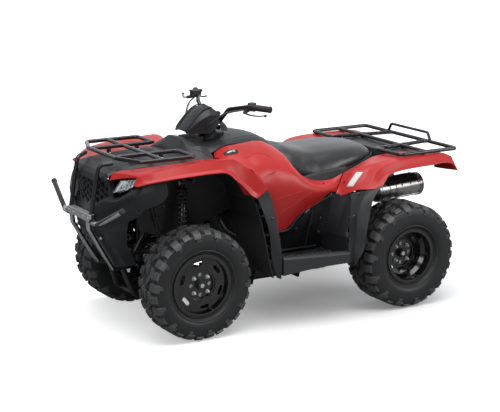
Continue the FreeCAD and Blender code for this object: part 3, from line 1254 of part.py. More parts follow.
def make_fixings():
    """Posts, brackets and lugs that carry the bodywork on the frame."""
    top, back = size("fender_height"), size("rear_fender_height")
    rail_y, seat_rail = size("rail_half_width"), size("seat_rail_height")
    tower, floor = size("tower_height"), size("floor_height")
    fender = ["front_fender_left", "front_fender_right"]
    add_lugs("frame", [
        post(front(-32), 150, tower, top - 17),
        post(front(180), rail_y, FRONT_Z + 118, top - 21),
    ], ["front_top_cover"])
    add_lugs("frame", [cross_post(middle(0.3), tower - 12, rail_y, 415)], ["side_cover_left", "side_cover_right"])
    add_lugs("frame", [
        fused([cross_post(front(180), top - 84, rail_y - 6, 262, 7), post(front(180), 256, top - 86, top - 30, 6)]),
        fused([cross_post(front(-62), tower - 5, rail_y, 276, 7), post(front(-62), 270, tower - 8, top - 12, 6)]),
    ], fender)
    add_lugs("frame", [
        fused([cross_post(rear(60), seat_rail + 4, rail_y, 345), post(rear(60), 338, seat_rail + 2, back + 10)]),
    ], ["rear_fender_left", "rear_fender_right"])
    add_lugs("frame", [
        fused([cross_post(rear(-196), seat_rail + 27, 0, rail_y), post(rear(-196), 60, seat_rail + 26, back + 2)]),
    ], ["rear_center_cover"])
    for share in (0.22, 0.82):
        add_lugs("frame", [
            fused([cross_post(middle(share), size("rail_height"), rail_y, 198, 10),
                   bar(Vector(middle(share), 192, size("rail_height")), Vector(middle(share), 262, floor - 30), 9.5),
                   post(middle(share), 258, floor - 44, floor - 3, 9)]),
        ], ["footwell_left", "footwell_right"])
    add_lugs("seat", [Part.makeBox(80, 120, 24, Vector(rear(40), -60, back - 48))], ["rear_center_cover"], False)
    add_lugs("front_skid", [Part.makeBox(37, 40, 14, Vector(front(262), -20, 337))], ["frame"], False)
    add_lugs("headlamps", [post(front(292), 318, top - 92, top - 38, 6)], fender)
    add_lugs("grille", [
        Part.makeBox(44, 12, 12, Vector(front(398), 146, 680)),
        Part.makeBox(14, 14, 26, Vector(front(386), 96, top - 104)),
    ], ["bumper_wings", "front_top_cover"])
    add_lugs("tail_lamp", [Part.makeBox(40, 60, 10, Vector(rear(-322), -30, back - 62))], ["rear_center_cover"], False)
    add_lugs("mudguards", [Part.makeBox(12, 20, 60, Vector(front(-192), 330, top - 66))], fender)
    add_lugs("mudguards", [Part.makeBox(18, 20, 10, Vector(front(-400), 400, floor - 7))],
             ["footwell_left", "footwell_right"])
    out = size("front_half_width")
    add_lugs("fender_flaps", [Part.makeBox(22, 26, 52, Vector(front(-386), out - 84, top - 236))], fender)
    for name in ("left", "right"):
        lug = Part.makeBox(20, 16, 20, Vector(rear(412), 530, 455))
        add_lugs("footwell_" + name, [lug if name == "left" else other_side(lug)], ["fender_flaps"], False)
    add_lugs("bumper_wings", [Part.makeBox(22, 10, 70, Vector(front(202), out - 107, top - 125))], fender)


for name, side in (("left", 1), ("right", -1)):
    make_front_wheel(name, side)
    make_knuckle(name, side)
    make_tie_rod(name, side)
    make_footwell(name, side)
make_rear_wheels()
make_rear_axle()
make_front_arms()
make_front_shocks()
make_stem()
feature("handlebar", bent_bar(size("bar_radius")))
make_hand_controls()
make_handlebar_cover()
make_frame()
make_engine()
make_swingarm()
make_rear_shocks()
make_exhaust()
make_front_fenders()
make_top_cover()
make_tank_cover()
make_side_covers()
make_seat()
make_rear_fenders()
make_rear_cover()
make_mudguards()
make_fender_flaps()
make_grille()
make_headlamps()
make_bumper_wings()
make_front_skid()
make_front_guard()
make_front_rack()
make_rear_rack()
make_tail_lamp()
doc.recompute()
make_fixings()
doc.recompute()

NODES = [
    "front_tyre_left", "front_tyre_right", "front_rim_left", "front_rim_right", "front_hub_left", "front_hub_right",
    "knuckle_left", "knuckle_right", "tie_rod_left", "tie_rod_right", "footwell_left", "footwell_right",
    "rear_tyres", "rear_rims", "rear_axle", "front_arms", "front_shocks", "steering_stem", "handlebar",
    "hand_controls", "handlebar_cover", "frame", "engine", "swingarm", "rear_shocks", "exhaust",
    "front_fender_left", "front_fender_right", "front_top_cover", "tank_cover", "side_cover_left",
    "side_cover_right", "seat", "rear_fender_left", "rear_fender_right", "rear_center_cover", "mudguards",
    "fender_flaps", "grille", "headlamps", "bumper_wings", "front_skid", "front_guard", "front_rack",
    "rear_rack", "tail_lamp",
]

os.makedirs("parts", exist_ok=True)
for piece in doc.Objects:
    if "Invalid" in piece.State or "Error" in piece.State:
        raise RuntimeError(f"{piece.Name} failed: {piece.State}")
for label in NODES:
    shape = doc.getObjectsByLabel(label)[0].Shape
    if shape.isNull() or not shape.isValid() or shape.Volume <= 0:
        raise RuntimeError(f"{label} has no valid solid")
    shape.exportStep(f"parts/{label}.step")
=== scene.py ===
import json
import math
import random

import bmesh
import bpy
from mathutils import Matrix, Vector


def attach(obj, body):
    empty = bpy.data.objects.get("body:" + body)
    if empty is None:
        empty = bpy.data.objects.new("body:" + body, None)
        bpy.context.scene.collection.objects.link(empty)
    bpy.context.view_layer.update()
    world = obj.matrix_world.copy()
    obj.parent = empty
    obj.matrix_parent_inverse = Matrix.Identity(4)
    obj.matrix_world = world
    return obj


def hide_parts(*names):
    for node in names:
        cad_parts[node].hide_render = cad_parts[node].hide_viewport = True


# Looks of the utility quad bike: shells, tyres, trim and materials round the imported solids.

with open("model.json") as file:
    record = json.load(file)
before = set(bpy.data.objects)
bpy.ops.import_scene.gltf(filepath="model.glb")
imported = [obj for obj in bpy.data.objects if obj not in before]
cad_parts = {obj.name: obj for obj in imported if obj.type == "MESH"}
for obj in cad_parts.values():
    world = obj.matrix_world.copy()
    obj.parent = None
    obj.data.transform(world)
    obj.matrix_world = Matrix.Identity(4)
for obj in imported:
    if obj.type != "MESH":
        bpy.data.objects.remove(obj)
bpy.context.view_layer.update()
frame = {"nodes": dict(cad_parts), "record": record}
nodes = frame["nodes"]
scene = bpy.context.scene

MM = 0.001
# Heights of the front fenders, the rear fenders, the tank cover and the seat
TOP, BACK, TANK, SEAT = 927, 824, 985, 832
FRONT_AXLE, REAR_AXLE, AXLE_HEIGHT = 600, -672, 292
FRONT_SPAN, REAR_SPAN = 400, 452
# Each tyre's radius and width, and its rim's radius and width
FRONT_TYRE, REAR_TYRE = (292, 203, 166, 163), (292, 254, 153, 206)
BAY = 250
LEFT, RIGHT = 1, -1
SIDES = (("left", LEFT), ("right", RIGHT))


def front(x):
    """A place counted forward from the front axle."""
    return FRONT_AXLE + x


def rear(x):
    """A place counted forward from the rear axle."""
    return x + REAR_AXLE


def middle(share):
    """A place between the arches, from the front end of the bay to its rear end."""
    return BAY - 2 * BAY * share


# Shader nodes


def plug(tree, made, inputs):
    """Gives a shader node's inputs their values or links them to other nodes' outputs."""
    for key, value in inputs.items():
        if isinstance(value, bpy.types.NodeSocket):
            tree.links.new(value, made.inputs[key])
        else:
            made.inputs[key].default_value = value


def node(tree, kind, inputs=None, **settings):
    made = tree.nodes.new("ShaderNode" + kind)
    for key, value in settings.items():
        setattr(made, key, value)
    plug(tree, made, inputs or {})
    return made


def mixed(tree, share, a, b):
    return node(tree, "Mix", {"Factor": share, "A": a, "B": b}, data_type="RGBA").outputs["Result"]


def spanned(tree, value, low, high, start=0.0, end=1.0):
    """The value brought from the range start to end into the range low to high."""
    return node(tree, "MapRange", {"Value": value, "From Min": start, "From Max": end, "To Min": low,
                                   "To Max": high}).outputs["Result"]


def bumped(tree, height, strength, distance, normal):
    inputs = {"Height": height, "Strength": strength, "Distance": distance}
    if normal:
        inputs["Normal"] = normal
    return node(tree, "Bump", inputs).outputs["Normal"]


# Camera, floor and light


def new_object(name, data):
    obj = bpy.data.objects.new(name, data)
    scene.collection.objects.link(obj)
    return obj


def aim(obj, place, target):
    obj.location = place
    obj.rotation_euler = (Vector(target) - obj.location).to_track_quat("-Z", "Y").to_euler()


def add_camera():
    data = bpy.data.cameras.new("camera")
    data.sensor_width = 36
    data.lens = 101.54
    data.clip_end = 200
    scene.camera = new_object("camera", data)
    aim(scene.camera, (3.939, 6.575, 2.324), (0.033, 0.0, 0.5495))


def add_area(name, place, target, width, height, power):
    data = bpy.data.lights.new(name, "AREA")
    data.shape = "RECTANGLE"
    data.size = width
    data.size_y = height
    data.energy = power
    aim(new_object(name, data), place, target)


def add_floor():
    """Pale floor that keeps the object's shadow and adds a painted shadow: its glow for the camera is dimmer round a
    spot beside the object and fades to white away from it.
    """
    wide = 30
    mesh = bpy.data.meshes.new("floor")
    mesh.from_pydata([(-wide, -wide, 0), (wide, -wide, 0), (wide, wide, 0), (-wide, wide, 0)], [], [(0, 1, 2, 3)])
    floor = new_object("floor", mesh)
    mat = bpy.data.materials.new("floor_paper")
    mat.use_nodes = True
    tree = mat.node_tree
    tree.nodes.clear()
    path = node(tree, "LightPath").outputs
    paper = mixed(tree, path["Is Camera Ray"], (0.3, 0.3, 0.3, 1), (0.86, 0.86, 0.86, 1))
    diffuse = node(tree, "BsdfDiffuse", {"Color": paper})
    place = node(tree, "TexCoord").outputs["Object"]
    # Painted shadow: the camera glow is weakest near this spot and reaches full white 2.3 m from it.
    moved = node(tree, "VectorMath", {0: place, 1: (-0.35, 0.55, 0)}, operation="SUBTRACT")
    away = node(tree, "VectorMath", {0: moved.outputs["Vector"]}, operation="LENGTH")
    painted_shadow_fade = spanned(tree, away.outputs["Value"], 0.16, 1.0, 0.5, 2.3)
    seen = node(tree, "Math", {0: path["Is Camera Ray"], 1: path["Is Transmission Ray"]}, operation="MAXIMUM")
    lit = node(tree, "Math", {0: seen.outputs[0], 1: painted_shadow_fade}, operation="MULTIPLY")
    glow = node(tree, "Emission", {"Strength": lit.outputs[0]})
    total = node(tree, "AddShader", {0: diffuse.outputs[0], 1: glow.outputs[0]})
    node(tree, "OutputMaterial", {"Surface": total.outputs[0]})
    mesh.materials.append(mat)


def add_world():
    """Pale surround for the camera, and a soft one for the rest, brighter behind the object."""
    world = bpy.data.worlds.new("studio")
    scene.world = world
    world.use_nodes = True
    tree = world.node_tree
    tree.nodes.clear()
    place = node(tree, "TexCoord").outputs["Generated"]
    behind = node(tree, "VectorMath", {0: place, 1: (-0.50, -0.84, 0.2)}, operation="DOT_PRODUCT")
    level = spanned(tree, behind.outputs["Value"], 0.12, 0.95, -0.1, 0.85)
    soft = node(tree, "Background", {"Color": (0.92, 0.95, 1.0, 1), "Strength": level})
    pale = node(tree, "Background")
    path = node(tree, "LightPath").outputs
    mix = node(tree, "MixShader", {0: path["Is Camera Ray"], 1: soft.outputs[0], 2: pale.outputs[0]})
    node(tree, "OutputWorld", {"Surface": mix.outputs[0]})


def add_lights():
    add_area("top_softbox", (0.6, 1.0, 4.2), (0, 0, 0.4), 4.2, 3.4, 165)
    add_area("front_softbox", (4.2, 3.4, 2.6), (0, 0, 0.6), 2.6, 2.2, 60)
    add_area("rear_softbox", (-3.6, 3.6, 2.4), (0, 0, 0.6), 2.2, 2.0, 85)


# Materials


def tinted(color, factor, extra=0.0):
    return [min(1, c * factor + extra) for c in color] + [1]


def make_material(name, color, rough, *, metal=0.0, coat=0.0, coat_rough=0.1, grain=0.0, grain_scale=900.0,
                  mottle=0.06, mottle_scale=7.0, rough_change=0.08, sheen=0.0, ior=1.5, leather=0.0, wear=0.0,
                  clear=0.0):
    """Principled surface whose tint, roughness and fine grain vary over it, with paler worn edges."""
    mat = bpy.data.materials.new(name)
    mat.use_nodes = True
    tree = mat.node_tree
    shader = tree.nodes["Principled BSDF"]
    place = node(tree, "TexCoord").outputs["Object"]
    cloud = node(tree, "TexNoise", {"Vector": place, "Scale": mottle_scale, "Detail": 5}).outputs["Fac"]
    colour = mixed(tree, cloud, tinted(color, 1 - mottle), tinted(color, 1 + mottle))
    if wear:
        bend = node(tree, "NewGeometry").outputs["Pointiness"]
        colour = mixed(tree, spanned(tree, bend, 0.0, wear, 0.52, 0.58), colour, tinted(color, 1.6, 0.05))
    plug(tree, shader, {
        "Base Color": colour, "Metallic": metal, "Coat Weight": coat, "Coat Roughness": coat_rough,
        "Sheen Weight": sheen, "IOR": ior, "Transmission Weight": clear,
        "Roughness": spanned(tree, cloud, max(0.02, rough - rough_change), min(1.0, rough + rough_change)),
    })
    normal = None
    if grain:
        fine = node(tree, "TexNoise", {"Vector": place, "Scale": grain_scale, "Detail": 3}).outputs["Fac"]
        normal = bumped(tree, fine, grain, 0.0006, normal)
    if leather:
        cells = node(tree, "TexVoronoi", {"Vector": place, "Scale": 260}, feature="DISTANCE_TO_EDGE")
        normal = bumped(tree, cells.outputs["Distance"], leather, 0.0008, normal)
    if normal:
        plug(tree, shader, {"Normal": normal})
    return mat


MATERIALS = {
    "body_red": make_material("red_gloss", (0.47, 0.018, 0.017), 0.38, coat=0.08, coat_rough=0.2, mottle=0.02,
                              ior=1.42, grain=0.03, grain_scale=160),
    "charcoal_plastic": make_material("charcoal_textured", (0.017, 0.018, 0.020), 0.42, ior=1.42, grain=0.35,
                                      grain_scale=700, wear=0.4),
    "black_plastic": make_material("black_moulded", (0.006, 0.006, 0.0065), 0.55, grain=0.25, wear=0.3),
    "black_steel": make_material("black_powdercoat", (0.010, 0.010, 0.011), 0.24, coat=0.3, mottle=0.05, wear=0.3),
    "frame_black": make_material("satin_black_steel", (0.012, 0.012, 0.013), 0.36, grain=0.1, wear=0.3),
    "engine_alloy": make_material("dark_cast_alloy", (0.05, 0.05, 0.052), 0.5, metal=0.6, grain=0.5,
                                  grain_scale=350, wear=0.5),
    "muffler_steel": make_material("satin_silver", (0.33, 0.325, 0.32), 0.32, metal=0.95, grain=0.1),
    "rim_black": make_material("rim_gloss_black", (0.003, 0.003, 0.0034), 0.2, coat=0.8, coat_rough=0.05, wear=0.12),
    "hub_steel": make_material("machined_steel", (0.62, 0.62, 0.63), 0.3, metal=0.45),
    "tyre_rubber": make_material("tyre_rubber", (0.017, 0.0175, 0.0187), 0.52, grain=0.3, grain_scale=500, wear=1.0),
    "grip_rubber": make_material("grip_rubber", (0.02, 0.02, 0.021), 0.6, grain=0.3, wear=0.3),
    "seat_vinyl": make_material("grained_vinyl", (0.020, 0.021, 0.024), 0.34, grain=0.15, grain_scale=420,
                                sheen=0.15, rough_change=0.03, leather=0.25),
    "lamp_clear": make_material("lamp_lens", (0.93, 0.95, 0.97), 0.04, clear=0.92, rough_change=0.02, ior=1.25,
                                mottle=0.01),
    "lamp_red": make_material("red_lens", (0.45, 0.012, 0.012), 0.15, coat=0.6),
    "label_white": make_material("label_white", (0.72, 0.71, 0.69), 0.45, mottle=0.04, mottle_scale=40),
    "guard_grey": make_material("guard_grey_metal", (0.50, 0.505, 0.51), 0.38, metal=0.8, grain=0.15, wear=0.3),
    "spring_black": make_material("spring_black", (0.05, 0.05, 0.052), 0.22, metal=0.3, coat=0.6, wear=0.3),
}


def dress_nodes():
    """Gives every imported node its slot's material, and the grille the paler plastic."""
    slots = {s["node"]: s["material_slot"] for s in frame["record"]["subparts"]}
    slots["grille"] = "charcoal_plastic"
    for name, obj in nodes.items():
        for place in obj.material_slots:
            place.material = MATERIALS[slots[name]]


# Makers


def smooth_line(points, steps, hard=()):
    """Points on a smooth line through the given ones; it may turn sharply at the hard ones."""
    count = len(points)
    gaps = [max((points[i + 1] - points[i]).length, 1e-6) for i in range(count - 1)]
    chords = [(points[i + 1] - points[i]) / gaps[i] for i in range(count - 1)]

    def slope(k, i):
        if 0 < k < count - 1 and k not in hard:
            return (chords[k - 1] * gaps[k] + chords[k] * gaps[k - 1]) / (gaps[k - 1] + gaps[k])
        return chords[i]

    line = []
    for i in range(count - 1):
        a, b, reach = slope(i, i), slope(i + 1, i), gaps[i]
        for step in range(steps):
            t = step / steps
            u = 1 - t
            line.append(points[i] * (u * u * (1 + 2 * t)) + a * (reach * t * u * u)
                        + points[i + 1] * (t * t * (3 - 2 * t)) - b * (reach * t * t * u))
    return line + [points[-1].copy()]


def smooth_grid(rows, steps, hard_rows=(), hard_cols=()):
    across, along = steps
    fine = [smooth_line(row, across, hard_cols) for row in rows]
    columns = [smooth_line([row[j] for row in fine], along, hard_rows) for j in range(len(fine[0]))]
    return [[column[i] for column in columns] for i in range(len(columns[0]))]


def quads(rows, wide, closed):
    """Faces between rows of points; closed joins each row's end to its start."""
    return [(i * wide + j, i * wide + (j + 1) % wide, (i + 1) * wide + (j + 1) % wide, (i + 1) * wide + j)
            for i in range(rows - 1) for j in range(wide if closed else wide - 1)]


def solid_mesh(name, points, faces, weld=False):
    """Closed forms through points in millimetres, facing outward; weld joins the points that lie together."""
    mesh = bpy.data.meshes.new(name)
    mesh.from_pydata([tuple(p * MM) for p in points], [], faces)
    bm = bmesh.new()
    bm.from_mesh(mesh)
    if weld:
        bmesh.ops.remove_doubles(bm, verts=bm.verts, dist=1e-6)
    bmesh.ops.recalc_face_normals(bm, faces=bm.faces)
    bm.to_mesh(mesh)
    bm.free()
    return mesh


def grid_mesh(name, rows, outward):
    """A mesh through rows of points, turned to face outward."""
    mesh = bpy.data.meshes.new(name)
    mesh.from_pydata([tuple(p) for row in rows for p in row], [], quads(len(rows), len(rows[0]), False))
    total = Vector()
    for poly in mesh.polygons:
        total += poly.normal * poly.area
    if total.dot(Vector(outward)) < 0:
        mesh.flip_normals()
    mesh.shade_smooth()
    return mesh


def dress(obj, slot, body="chassis", nodes_out=()):
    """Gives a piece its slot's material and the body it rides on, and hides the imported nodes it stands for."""
    obj.data.materials.append(MATERIALS[slot])
    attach(obj, body)
    if nodes_out:
        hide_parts(*nodes_out)
    return obj


def soften(obj, width, segments=2, angle=32):
    """Rounds the edges that turn by more than the angle."""
    edge = obj.modifiers.new("edge", "BEVEL")
    edge.width = width * MM
    edge.segments = segments
    edge.limit_method = "ANGLE"
    edge.angle_limit = math.radians(angle)
    edge.harden_normals = True


def mirrored(rows, side):
    """The rows as they are on the left, or turned over to the right."""
    return [[Vector((p.x, p.y * side, p.z)) for p in row] for row in rows]


def faired(grid, passes):
    """The grid with its inner points drawn toward their neighbours, so that it bends evenly."""
    for _ in range(passes):
        grid = [[p if i in (0, len(grid) - 1) or j in (0, len(row) - 1) else
                 p * 0.4 + (grid[i - 1][j] + grid[i + 1][j] + row[j - 1] + row[j + 1]) * 0.15
                 for j, p in enumerate(row)] for i, row in enumerate(grid)]
    return grid


def shell(name, rows, slot, outward, *, side=LEFT, steps=(4, 5), hard_rows=(), hard_cols=(), thick=4, bevel=1.6,
          body="chassis", nodes_out=(), fair=0):
    """A moulded skin through the rows' points, given in millimetres, with its thickness laid inward."""
    points = [[Vector(p) * MM for p in row] for row in rows]
    fine = faired(smooth_grid(mirrored(points, side), steps, hard_rows, hard_cols), fair)
    mesh = grid_mesh(name, fine, (outward[0], outward[1] * side, outward[2]))
    obj = new_object(name, mesh)
    wall = obj.modifiers.new("wall", "SOLIDIFY")
    wall.thickness = thick * MM
    wall.offset = -1
    if bevel:
        soften(obj, bevel, angle=15)
    return dress(obj, slot, body, nodes_out)


def side_shells(name, rows, slot, outward, nodes_out=(), **more):
    """The same skin on both sides; the left one stands for the nodes."""
    for label, side in SIDES:
        shell(name + label, rows, slot, outward, side=side, nodes_out=nodes_out if side == LEFT else (), **more)


# Bodywork


def front_fender_rows():
    return [[(front(x), y, TOP + z) for x, y, z in row] for row in [
        [(386, 206, -91), (335, 285, -70), (300, 350, -62), (322, 352, -98), (320, 380, -98), (318, 404, -92)],
        [(365, 206, -54), (322, 290, -51), (300, 350, -54), (294, 366, -56), (286, 396, -76), (276, 422, -82)],
        [(330, 206, -48), (292, 285, -45), (262, 372, -38), (254, 394, -40), (246, 418, -67), (234, 440, -75)],
        [(238, 210, -46), (220, 300, -39), (196, 382, -26), (191, 408, -27), (188, 431, -59), (184, 451, -69)],
        [(124, 228, -39), (128, 310, -33), (133, 388, -19), (131, 415, -19), (129, 438, -53), (126, 457, -65)],
        [(-5, 236, -36), (10, 320, -28), (24, 394, -13), (24, 421, -12), (22, 443, -48), (20, 461, -61)],
        [(-90, 240, -30), (-88, 325, -20), (-84, 396, -8), (-83, 424, -6), (-84, 446, -45), (-84, 464, -59)],
        [(-140, 242, -28), (-146, 327, -16), (-156, 397, -4), (-160, 426, -2), (-162, 448, -50), (-158, 466, -66)],
        [(-176, 244, -28), (-184, 328, -17), (-198, 399, -5), (-202, 428, -3), (-192, 449, -61), (-180, 467, -79)],
        [(-205, 250, -31), (-214, 335, -24), (-229, 402, -17), (-233, 433, -14), (-213, 451, -79), (-196, 468, -95)],
        [(-250, 330, -50), (-258, 372, -46), (-266, 407, -44), (-270, 438, -42), (-248, 453, -108), (-228, 469, -123)],
        [(-314, 376, -86), (-315, 398, -82), (-315, 421, -77), (-313, 446, -74), (-292, 457, -152), (-272, 470, -166)],
        [(-368, 412, -143), (-369, 424, -141), (-370, 436, -138), (-368, 456, -135), (-336, 462, -190),
         (-308, 471, -202)],
        [(-402, 438, -184), (-401, 443, -182), (-401, 452, -180), (-400, 465, -178), (-366, 467, -197),
         (-334, 470, -215)],
    ]]


def rear_fender_rows():
    return [[(rear(x), y, BACK + z) for x, y, z in row] for row in [
        [(376, 364, -168), (357, 388, -181), (306, 470, -137), (283, 515, -131), (246, 534, -128), (206, 547, -122)],
        [(341, 346, -120), (324, 392, -112), (259, 456, -88), (238, 502, -86), (214, 526, -106), (184, 538, -105)],
        [(305, 330, -69), (286, 392, -56), (219, 446, -46), (204, 492, -48), (184, 516, -84), (160, 528, -87)],
        [(225, 292, -58), (212, 392, -26), (180, 440, -16), (164, 487, -24), (152, 508, -64), (138, 519, -69)],
        [(156, 292, -31), (147, 380, -12), (130, 435, -4), (116, 485, -13), (110, 504, -51), (104, 514, -59)],
        [(101, 292, -11), (87, 370, -2), (66, 432, 3), (64, 483, -7), (64, 501, -43), (62, 510, -53)],
        [(7, 292, 1), (4, 365, 5), (0, 430, 6), (0, 480, -4), (0, 499, -37), (0, 508, -48)],
        [(-68, 292, 4), (-71, 365, 7), (-70, 430, 7), (-70, 480, -2), (-70, 498, -33), (-70, 507, -45)],
        [(-178, 292, -2), (-178, 370, 4), (-177, 432, 5), (-176, 480, -3), (-176, 498, -30), (-176, 507, -42)],
        [(-283, 292, -6), (-283, 370, 2), (-283, 430, 3), (-286, 478, -5), (-286, 497, -32), (-284, 505, -42)],
        [(-318, 292, -16), (-320, 370, -8), (-320, 430, -6), (-326, 474, -14), (-328, 494, -44), (-320, 503, -56)],
        [(-345, 292, -54), (-348, 370, -52), (-350, 430, -50), (-352, 470, -56), (-354, 492, -80), (-344, 502, -86)],
        [(-354, 292, -112), (-356, 370, -107), (-360, 430, -102), (-362, 472, -98), (-362, 494, -97), (-353, 502, -95)],
    ]]


def side_cover_rows():
    half = 203
    stations = [
        (front(-330), [(half - 6, -36), (262, -55), (335, -87), (392, -117), (422, -132)]),
        (front(-400), [(half, -29), (280, -46), (380, -113), (420, -185), (430, -226)]),
        (front(-450), [(half, -26), (284, -49), (392, -133), (424, -245), (408, -345)]),
        (middle(0.314), [(half, -28), (286, -56), (402, -156), (424, -285), (384, -485)]),
        (middle(0.42), [(half, -51), (291, -80), (402, -176), (421, -305), (366, -493)]),
        (middle(0.53), [(half + 3, -87), (296, -107), (402, -190), (421, -304), (368, -455)]),
        (middle(0.58), [(216, -143), (300, -147), (400, -204), (420, -305), (370, -429)]),
        (middle(0.744), [(254, -222), (310, -233), (392, -255), (408, -305), (370, -393)]),
        (middle(0.854), [(270, -256), (320, -263), (385, -277), (396, -315), (368, -369)]),
        (rear(387), [(308, -264), (332, -273), (352, -287), (362, -301), (364, -319)]),
    ]
    rows = [[Vector((x, y, TANK + z)) for y, z in pairs] for x, pairs in stations]
    seam = [(310, 326, -233), (326, 334, -255), (344, 345, -282), (360, 354, -305), (372, 361, -325)]
    rows.append([Vector((rear(x), y, TANK + z)) for x, y, z in seam])
    folded = []
    for k, (a, b, c, d, e) in enumerate(rows):
        fold = 1.0 if k < 7 else (10 - k) / 4
        folded.append([a, a.lerp(b, 0.33) + Vector((0, 3, 5)) * fold, b, b.lerp(c, 0.5) + Vector((0, 3, 3)) * fold, c,
                       c.lerp(d, 0.5) + Vector((0, 3, 0)) * fold, d, e])
    return folded


def spread(x, pairs):
    """A row across the vehicle from the pairs of its left half."""
    right = [(x, -y, z) for y, z in reversed(pairs) if y > 0]
    return right + [(x, y, z) for y, z in pairs]


def make_fenders():
    """Red skins of the fenders and of the side covers between them."""
    for label, side in SIDES:
        shell("front_fender_shell_" + label, front_fender_rows(), "body_red", (0, 0.4, 1), side=side,
              hard_rows=(1,), hard_cols=(2, 3, 4), nodes_out=("front_fender_" + label,))
        shell("rear_fender_shell_" + label, rear_fender_rows(), "body_red", (0.3, 0.4, 1), side=side,
              hard_rows=(2, 10, 11), hard_cols=(1, 2, 3, 4), nodes_out=("rear_fender_" + label,))
        shell("side_cover_shell_" + label, side_cover_rows(), "body_red", (0, 1, 0.3), side=side, steps=(4, 6),
              hard_cols=(1,), fair=14, nodes_out=("side_cover_" + label,))


def make_covers():
    """Dark skins along the middle: the front top cover, the tank cover and the rear cover."""
    stations = [
        (front(404), [(0, -85), (120, -85), (188, -88), (202, -92)]),
        (front(388), [(0, -60), (120, -61), (186, -62), (203, -74)]),
        (front(350), [(0, -34), (120, -36), (186, -42), (203, -54)]),
        (front(238), [(0, -22), (120, -24), (188, -32), (205, -46)]),
        (front(124), [(0, -20), (120, -22), (205, -28), (223, -40)]),
        (front(-5), [(0, -20), (120, -22), (212, -26), (231, -38)]),
        (front(-58), [(0, -16), (120, -18), (215, -24), (234, -36)]),
        (front(-98), [(0, 60), (70, 58), (150, 22), (236, -32)]),
        (front(-150), [(0, 52), (90, 48), (176, 30), (238, -29)]),
        (front(-205), [(0, 30), (90, 28), (170, 16), (242, -30)]),
    ]
    rows = [spread(x, [(y, TOP + z) for y, z in pairs]) for x, pairs in stations]
    shell("top_cover_shell", rows, "charcoal_plastic", (0, 0, 1), hard_rows=(1, 2, 6, 7, 9),
          hard_cols=(1, 2, 4, 5), nodes_out=("front_top_cover",))
    stations = [
        (front(-212), -32, -40, 187, -72), (front(-300), -22, -28, 193, -34), (front(-400), -4, -12, 200, -28),
        (middle(0.314), 0, -10, 200, -27), (middle(0.42), -14, -26, 200, -50), (middle(0.52), -48, -60, 198, -98),
        (middle(0.585), -78, -88, 194, -128),
    ]
    rows = []
    for x, crown, shoulder, wide, edge in stations:
        pairs = [(0, crown), (wide * 0.55, shoulder + 4), (wide * 0.86, (shoulder + edge) / 2 + 4), (wide, edge)]
        rows.append(spread(x, [(y, TANK + z) for y, z in pairs]))
    shell("tank_cover_shell", rows, "charcoal_plastic", (0, 0, 1), nodes_out=("tank_cover",))
    stations = [
        (rear(247), -74, -62), (rear(156), -62, -34), (rear(72), -44, -8), (rear(-26), -41, 0), (rear(-40), 4, 3),
        (rear(-106), 4, 2), (rear(-271), 0, -6), (rear(-318), -54, -16),
    ]
    rows = []
    for x, centre, edge in stations:
        rows.append(spread(x, [(0, BACK + centre), (150, BACK + centre), (262, BACK + centre), (289, BACK + edge)]))
    shell("rear_cover_shell", rows, "charcoal_plastic", (0, 0, 1), hard_rows=(3, 4, 6), hard_cols=(1, 2, 4, 5),
          nodes_out=("rear_center_cover",))


def make_flaps():
    """Dark guards that hang from the fenders beside the footwells."""
    ahead = [
        [(-335, 472, 710), (-367, 469, 728), (-401, 466, 747), (-408, 441, 743)],
        [(-352, 490, 650), (-390, 487, 656), (-423, 483, 660), (-430, 459, 656)],
        [(-382, 507, 540), (-414, 505, 542), (-442, 499, 545), (-449, 475, 542)],
        [(-396, 518, 375), (-428, 520, 376), (-454, 520, 378), (-460, 495, 376)],
        [(-420, 525, 284), (-434, 528, 279), (-444, 530, 276), (-450, 505, 278)],
    ]
    behind = [
        [(358, 480, 672), (320, 500, 681), (281, 514, 687), (238, 530, 700), (201, 546, 713)],
        [(372, 504, 616), (346, 516, 624), (320, 526, 630), (298, 544, 636), (277, 571, 643)],
        [(392, 522, 548), (374, 530, 556), (352, 540, 564), (328, 560, 567), (305, 585, 569)],
        [(407, 540, 465), (390, 546, 468), (368, 549, 472), (350, 572, 475), (331, 596, 477)],
        [(424, 560, 385), (404, 560, 388), (382, 557, 390), (366, 578, 390), (349, 600, 389)],
        [(426, 566, 326), (412, 568, 318), (396, 570, 308), (400, 578, 303), (405, 585, 300)],
    ]
    ahead = [[(front(x), y, z) for x, y, z in row] for row in ahead]
    behind = [[(rear(x), y, z) for x, y, z in row] for row in behind]
    for label, side in SIDES:
        out = ("fender_flaps",) if side == LEFT else ()
        shell("front_flap_" + label, ahead, "charcoal_plastic", (0, 1, 0), side=side, hard_cols=(2,), nodes_out=out)
        shell("rear_flap_" + label, behind, "charcoal_plastic", (0.6, 1, 0), side=side, hard_cols=(2,))


def make_wings():
    """Dark wings of the bumper below the headlamps."""
    rows = [[(front(x), y, z) for x, y, z in row] for row in [
        [(428, 138, 706), (442, 140, 690), (440, 141, 650), (430, 146, 592)],
        [(392, 196, 752), (424, 204, 730), (412, 206, 672), (392, 208, 600)],
        [(362, 262, 757), (392, 276, 738), (378, 276, 690), (338, 262, 618)],
        [(318, 345, 808), (342, 356, 780), (328, 356, 725), (300, 345, 662)],
        [(290, 395, 824), (306, 403, 795), (300, 403, 755), (278, 395, 708)],
        [(232, 421, 836), (238, 429, 800), (234, 429, 765), (226, 424, 730)],
        [(178, 432, 842), (172, 438, 815), (172, 438, 780), (200, 436, 745)],
    ]]
    side_shells("bumper_wing_", rows, "charcoal_plastic", (1, 0.6, 0), ("bumper_wings",), hard_rows=(4,))


# Wheels


